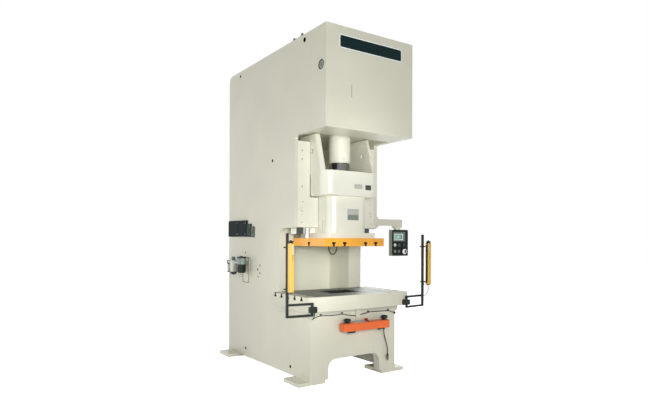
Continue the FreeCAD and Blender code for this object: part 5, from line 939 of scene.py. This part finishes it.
def enclosure_doors():
    """Raised doors, each with a rib and two locks, on the dark enclosures."""
    lock = [(0, 6), (1.6, 6), (2.2, 5), (1.2, 3)]
    shape = Shape()
    for near, far, low, high, depth, colour in ENCLOSURES:
        face = -SIDE - depth
        start, finish = FRONT + near + 8, FRONT + far - 8
        middle = (low + high) / 2
        shape.block((face - 1.4, start, low + 8), (face + 0.2, finish, high - 8), colour)
        shape.block((face - 2.2, start + 6, middle - 2), (face - 1.2, finish - 6, middle), colour)
        for z in (low + 34, high - 34):
            # The locks' dark sunk middles are painted shade.
            shape.turned((face - 1.3, start + 12, z), LEFT, lock, 3, end=4, sides=20)
    shape.place("enclosure_doors", "root", "box_paint", box_paint, box_grey, box_pale, zinc, bolt_black,
                rounding=0.6)


def oil_nipples():
    """Grease nipples in the small ports of the left side plate."""
    shape = Shape()
    for far, height, _ in OIL_PORTS:
        spot = (-SIDE + 26, FRONT + far, height)
        shape.turned(spot, LEFT, [(-4, 5.5), (9, 5.5), (10, 4.5)], 0, sides=6)
        shape.turned(spot, LEFT, [(10, 3.2), (14, 2.4), (16, 3.4), (18, 3.2), (19, 1.6)], 0, sides=16)
    shape.place("oil_nipples", "root", "fitting_metal", bore_black, rounding=0.3)


def weld_beads():
    """Rippled fillet welds where the foot plates meet the side plates."""
    low, high = span("foot_plates")
    foot_top, radius, step, length = 40, 4.0, 6.0, 180
    ripples = 2 * int(length / step) + 1
    profile = [(index * step / 2, radius * (1.0 if index % 2 else 0.82)) for index in range(ripples)]
    shape = Shape()
    for side in (-1, 1):
        for start in (low.y + 10, high.y - 10 - length):
            spot = (side * (SIDE + 0.8), start, foot_top + 0.8)
            shape.turned(spot, BACK, profile, 0, sides=10)
    shape.place("foot_welds", "root", "frame_paint", frame_paint, rounding=0.2)


def guard_screws():
    """Screws round the flywheel guard."""
    low, high = span("flywheel_guard")
    inset = 16
    rows = (low.z + inset, (2 * low.z + high.z) / 3, (low.z + 2 * high.z) / 3, high.z - inset)
    shape = Shape()
    for x in (low.x + inset, high.x - inset):
        for z in rows:
            shape.screw((x, high.y, z), BACK, 7.0, 5.0)
    for x in (-160, 160):
        for z in (rows[0], rows[-1]):
            shape.screw((x, high.y, z), BACK, 7.0, 5.0)
    shape.place("guard_screws", "root", "bolt_steel", zinc, bolt_black, rounding=0.5)


def arm_cap():
    """The washer and cap screw that hold the pendant's arm to its bearing; its socket's dark floor is
    painted shade.
    """
    pivot_x, pivot_y = 650, -630
    top = span("pendant_arm")[1].z
    cap = [(-0.2, 20), (3, 20), (3, 12), (11, 11.5), (13, 9.5), (13, 6), (7, 6)]
    shape = Shape()
    shape.turned((pivot_x, pivot_y, top), UP, cap, 0, end=1, sides=32)
    shape.place("arm_cap", "pendant_arm", "bolt_steel", zinc, bolt_black, rounding=0.5)


sign()
cover_plug()
housing_fittings()
rating_plate()
pendant_display()
pendant_fixings()
for side, name in ((-1, "left"), (1, "right")):
    curtain_label(side, name)
    clamp_screws(side, name)
station_top()
station_hangers()
air_unit()
enclosure_doors()
oil_nipples()
weld_beads()
guard_screws()
arm_cap()


# -------------------- cords

def cord_curve(name, node, body, radius, points, material):
    """A cord as one smooth spline over the route's control points."""
    data = bpy.data.curves.new(name, "CURVE")
    data.dimensions = "3D"
    spline = data.splines.new("NURBS")
    spline.points.add(len(points) - 1)
    for point, (x, y, z) in zip(spline.points, points):
        point.co = (x * MM, (FRONT + y) * MM, z * MM, 1)
    spline.order_u = 3
    spline.use_endpoint_u = True
    spline.resolution_u = 8
    data.bevel_depth = radius
    data.bevel_resolution = 4
    data.use_fill_caps = True
    data.materials.append(material)
    piece = add_object(name, data)
    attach(piece, body)
    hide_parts(node)
    x, y, z = points[0]


# Control points: X, Y behind the base's front, Z.
FRONT_ROUTE = [
    (-632, -135, 808), (-632, -135, 768), (-626, -92, 733), (-605, -45, 716), (-566, -12, 722),
    (-510, -9, 742), (-440, -10, 746), (-350, -9, 738), (-255, -10, 740), (-178, -9, 746),
    (-110, -10, 727), (-40, -9, 715), (35, -9.6, 713), (110, -9, 722), (186, -10, 738), (270, -9, 741),
    (365, -10, 738), (450, -9, 737), (507, -10, 735), (556, -9, 708), (588, -9, 708),
]
STATION_ROUTE = [
    (368, -76.5, 537), (368, -76.5, 497), (386, -73, 440), (414, -66, 376), (442, -54, 318),
    (460, -36, 292), (472, -24, 254), (472, -24, 224),
]
HOSE_ROUTE = [
    (104, 690, 1593), (104, 690, 1550), (107, 687, 1495), (116, 688, 1434), (152, 690, 1392),
    (196, 690, 1392), (232, 688, 1434), (241, 687, 1495), (244, 690, 1550), (244, 690, 1593),
]
CURTAIN_ROUTE = [
    (963, -199, 1030), (963, -199, 1004), (968, -194, 978), (968, -186, 954), (961, -177, 930),
    (949, -168, 911), (930, -162.5, 900), (912, -162.5, 900),
]
cord_curve("front_cable_line", "front_cable", "root", 0.0045, FRONT_ROUTE, cable_rubber)
cord_curve("station_cable_line", "station_cable", "root", 0.006, STATION_ROUTE, cable_rubber)
cord_curve("slide_hose_line", "slide_hose", "slide", 0.006, HOSE_ROUTE, cable_rubber)
cord_curve("curtain_cable_line", "curtain_cable", "curtain_right", 0.004, CURTAIN_ROUTE, grey_rubber)


# -------------------- floor, light, world

def make_floor():
    """A pale floor that keeps the shadow and is white to camera, gloss and glass."""
    mesh = bmesh.new()
    bmesh.ops.create_grid(mesh, x_segments=8, y_segments=8, size=30)
    data = bpy.data.meshes.new("floor")
    mesh.to_mesh(data)
    mesh.free()
    floor = add_object("floor", data)
    floor.location = (0, 0, -0.0005)
    m = Material("floor_finish")
    m.set(Base_Color=(0.86, 0.86, 0.86, 1), Roughness=0.9)
    m.set(Emission_Color=(1, 1, 1, 1), Emission_Strength=m.times(m.seen(), 0.90))
    data.materials.append(m.data)


def make_surround():
    """A world that is white to camera, gloss and glass, and a dim fill for everything else."""
    world = bpy.data.worlds.new("surround")
    scene.world = world
    world.use_nodes = True
    nodes = Nodes(world.node_tree)
    strength = nodes.spread(nodes.seen(), 0.0, 1.0, 0.18, 1.0)
    nodes.fill(nodes.tree.nodes["Background"], Color=(1, 1, 1, 1), Strength=strength)


def lamp(name, kind, place, target, power, **settings):
    """A lamp of a kind at a place, turned to a target."""
    data = bpy.data.lights.new(name, kind)
    data.energy = power
    for key, value in settings.items():
        setattr(data, key, value)
    light = add_object(name, data)
    light.location = place
    light.rotation_euler = (Vector(target) - Vector(place)).to_track_quat("-Z", "Y").to_euler()


def area_light(name, place, target, size, power):
    """A soft box of a width and height."""
    lamp(name, "AREA", place, target, power, shape="RECTANGLE", size=size[0], size_y=size[1])


def spot_light(name, place, target, cone, power):
    """A soft spot that fades over its whole cone, given in degrees."""
    angle = math.radians(cone)
    lamp(name, "SPOT", place, target, power, spot_size=angle, spot_blend=1.0, shadow_soft_size=0.3)


make_floor()
make_surround()
area_light("key", (-2.2, -5.7, 2.0), (0, -0.8, 2.0), (2.2, 1.5), 165)
area_light("fill", (-6.8, -1.0, 2.2), (0, 0, 1.6), (3.0, 3.0), 50)
area_light("side", (-5.6, 4.0, 2.4), (0, 0, 1.6), (3.0, 3.0), 105)
spot_light("throat", (-3.9, -6.2, 1.8), (0.15, 0.1, 1.12), 12, 950)
spot_light("crown", (-2.4, -6.4, 1.3), (-0.1, -1.2, 2.55), 12, 330)
area_light("rear", (5.2, 4.8, 5.2), (0, 0, 2.0), (3.6, 3.0), 330)
scene.view_settings.view_transform = "Standard"
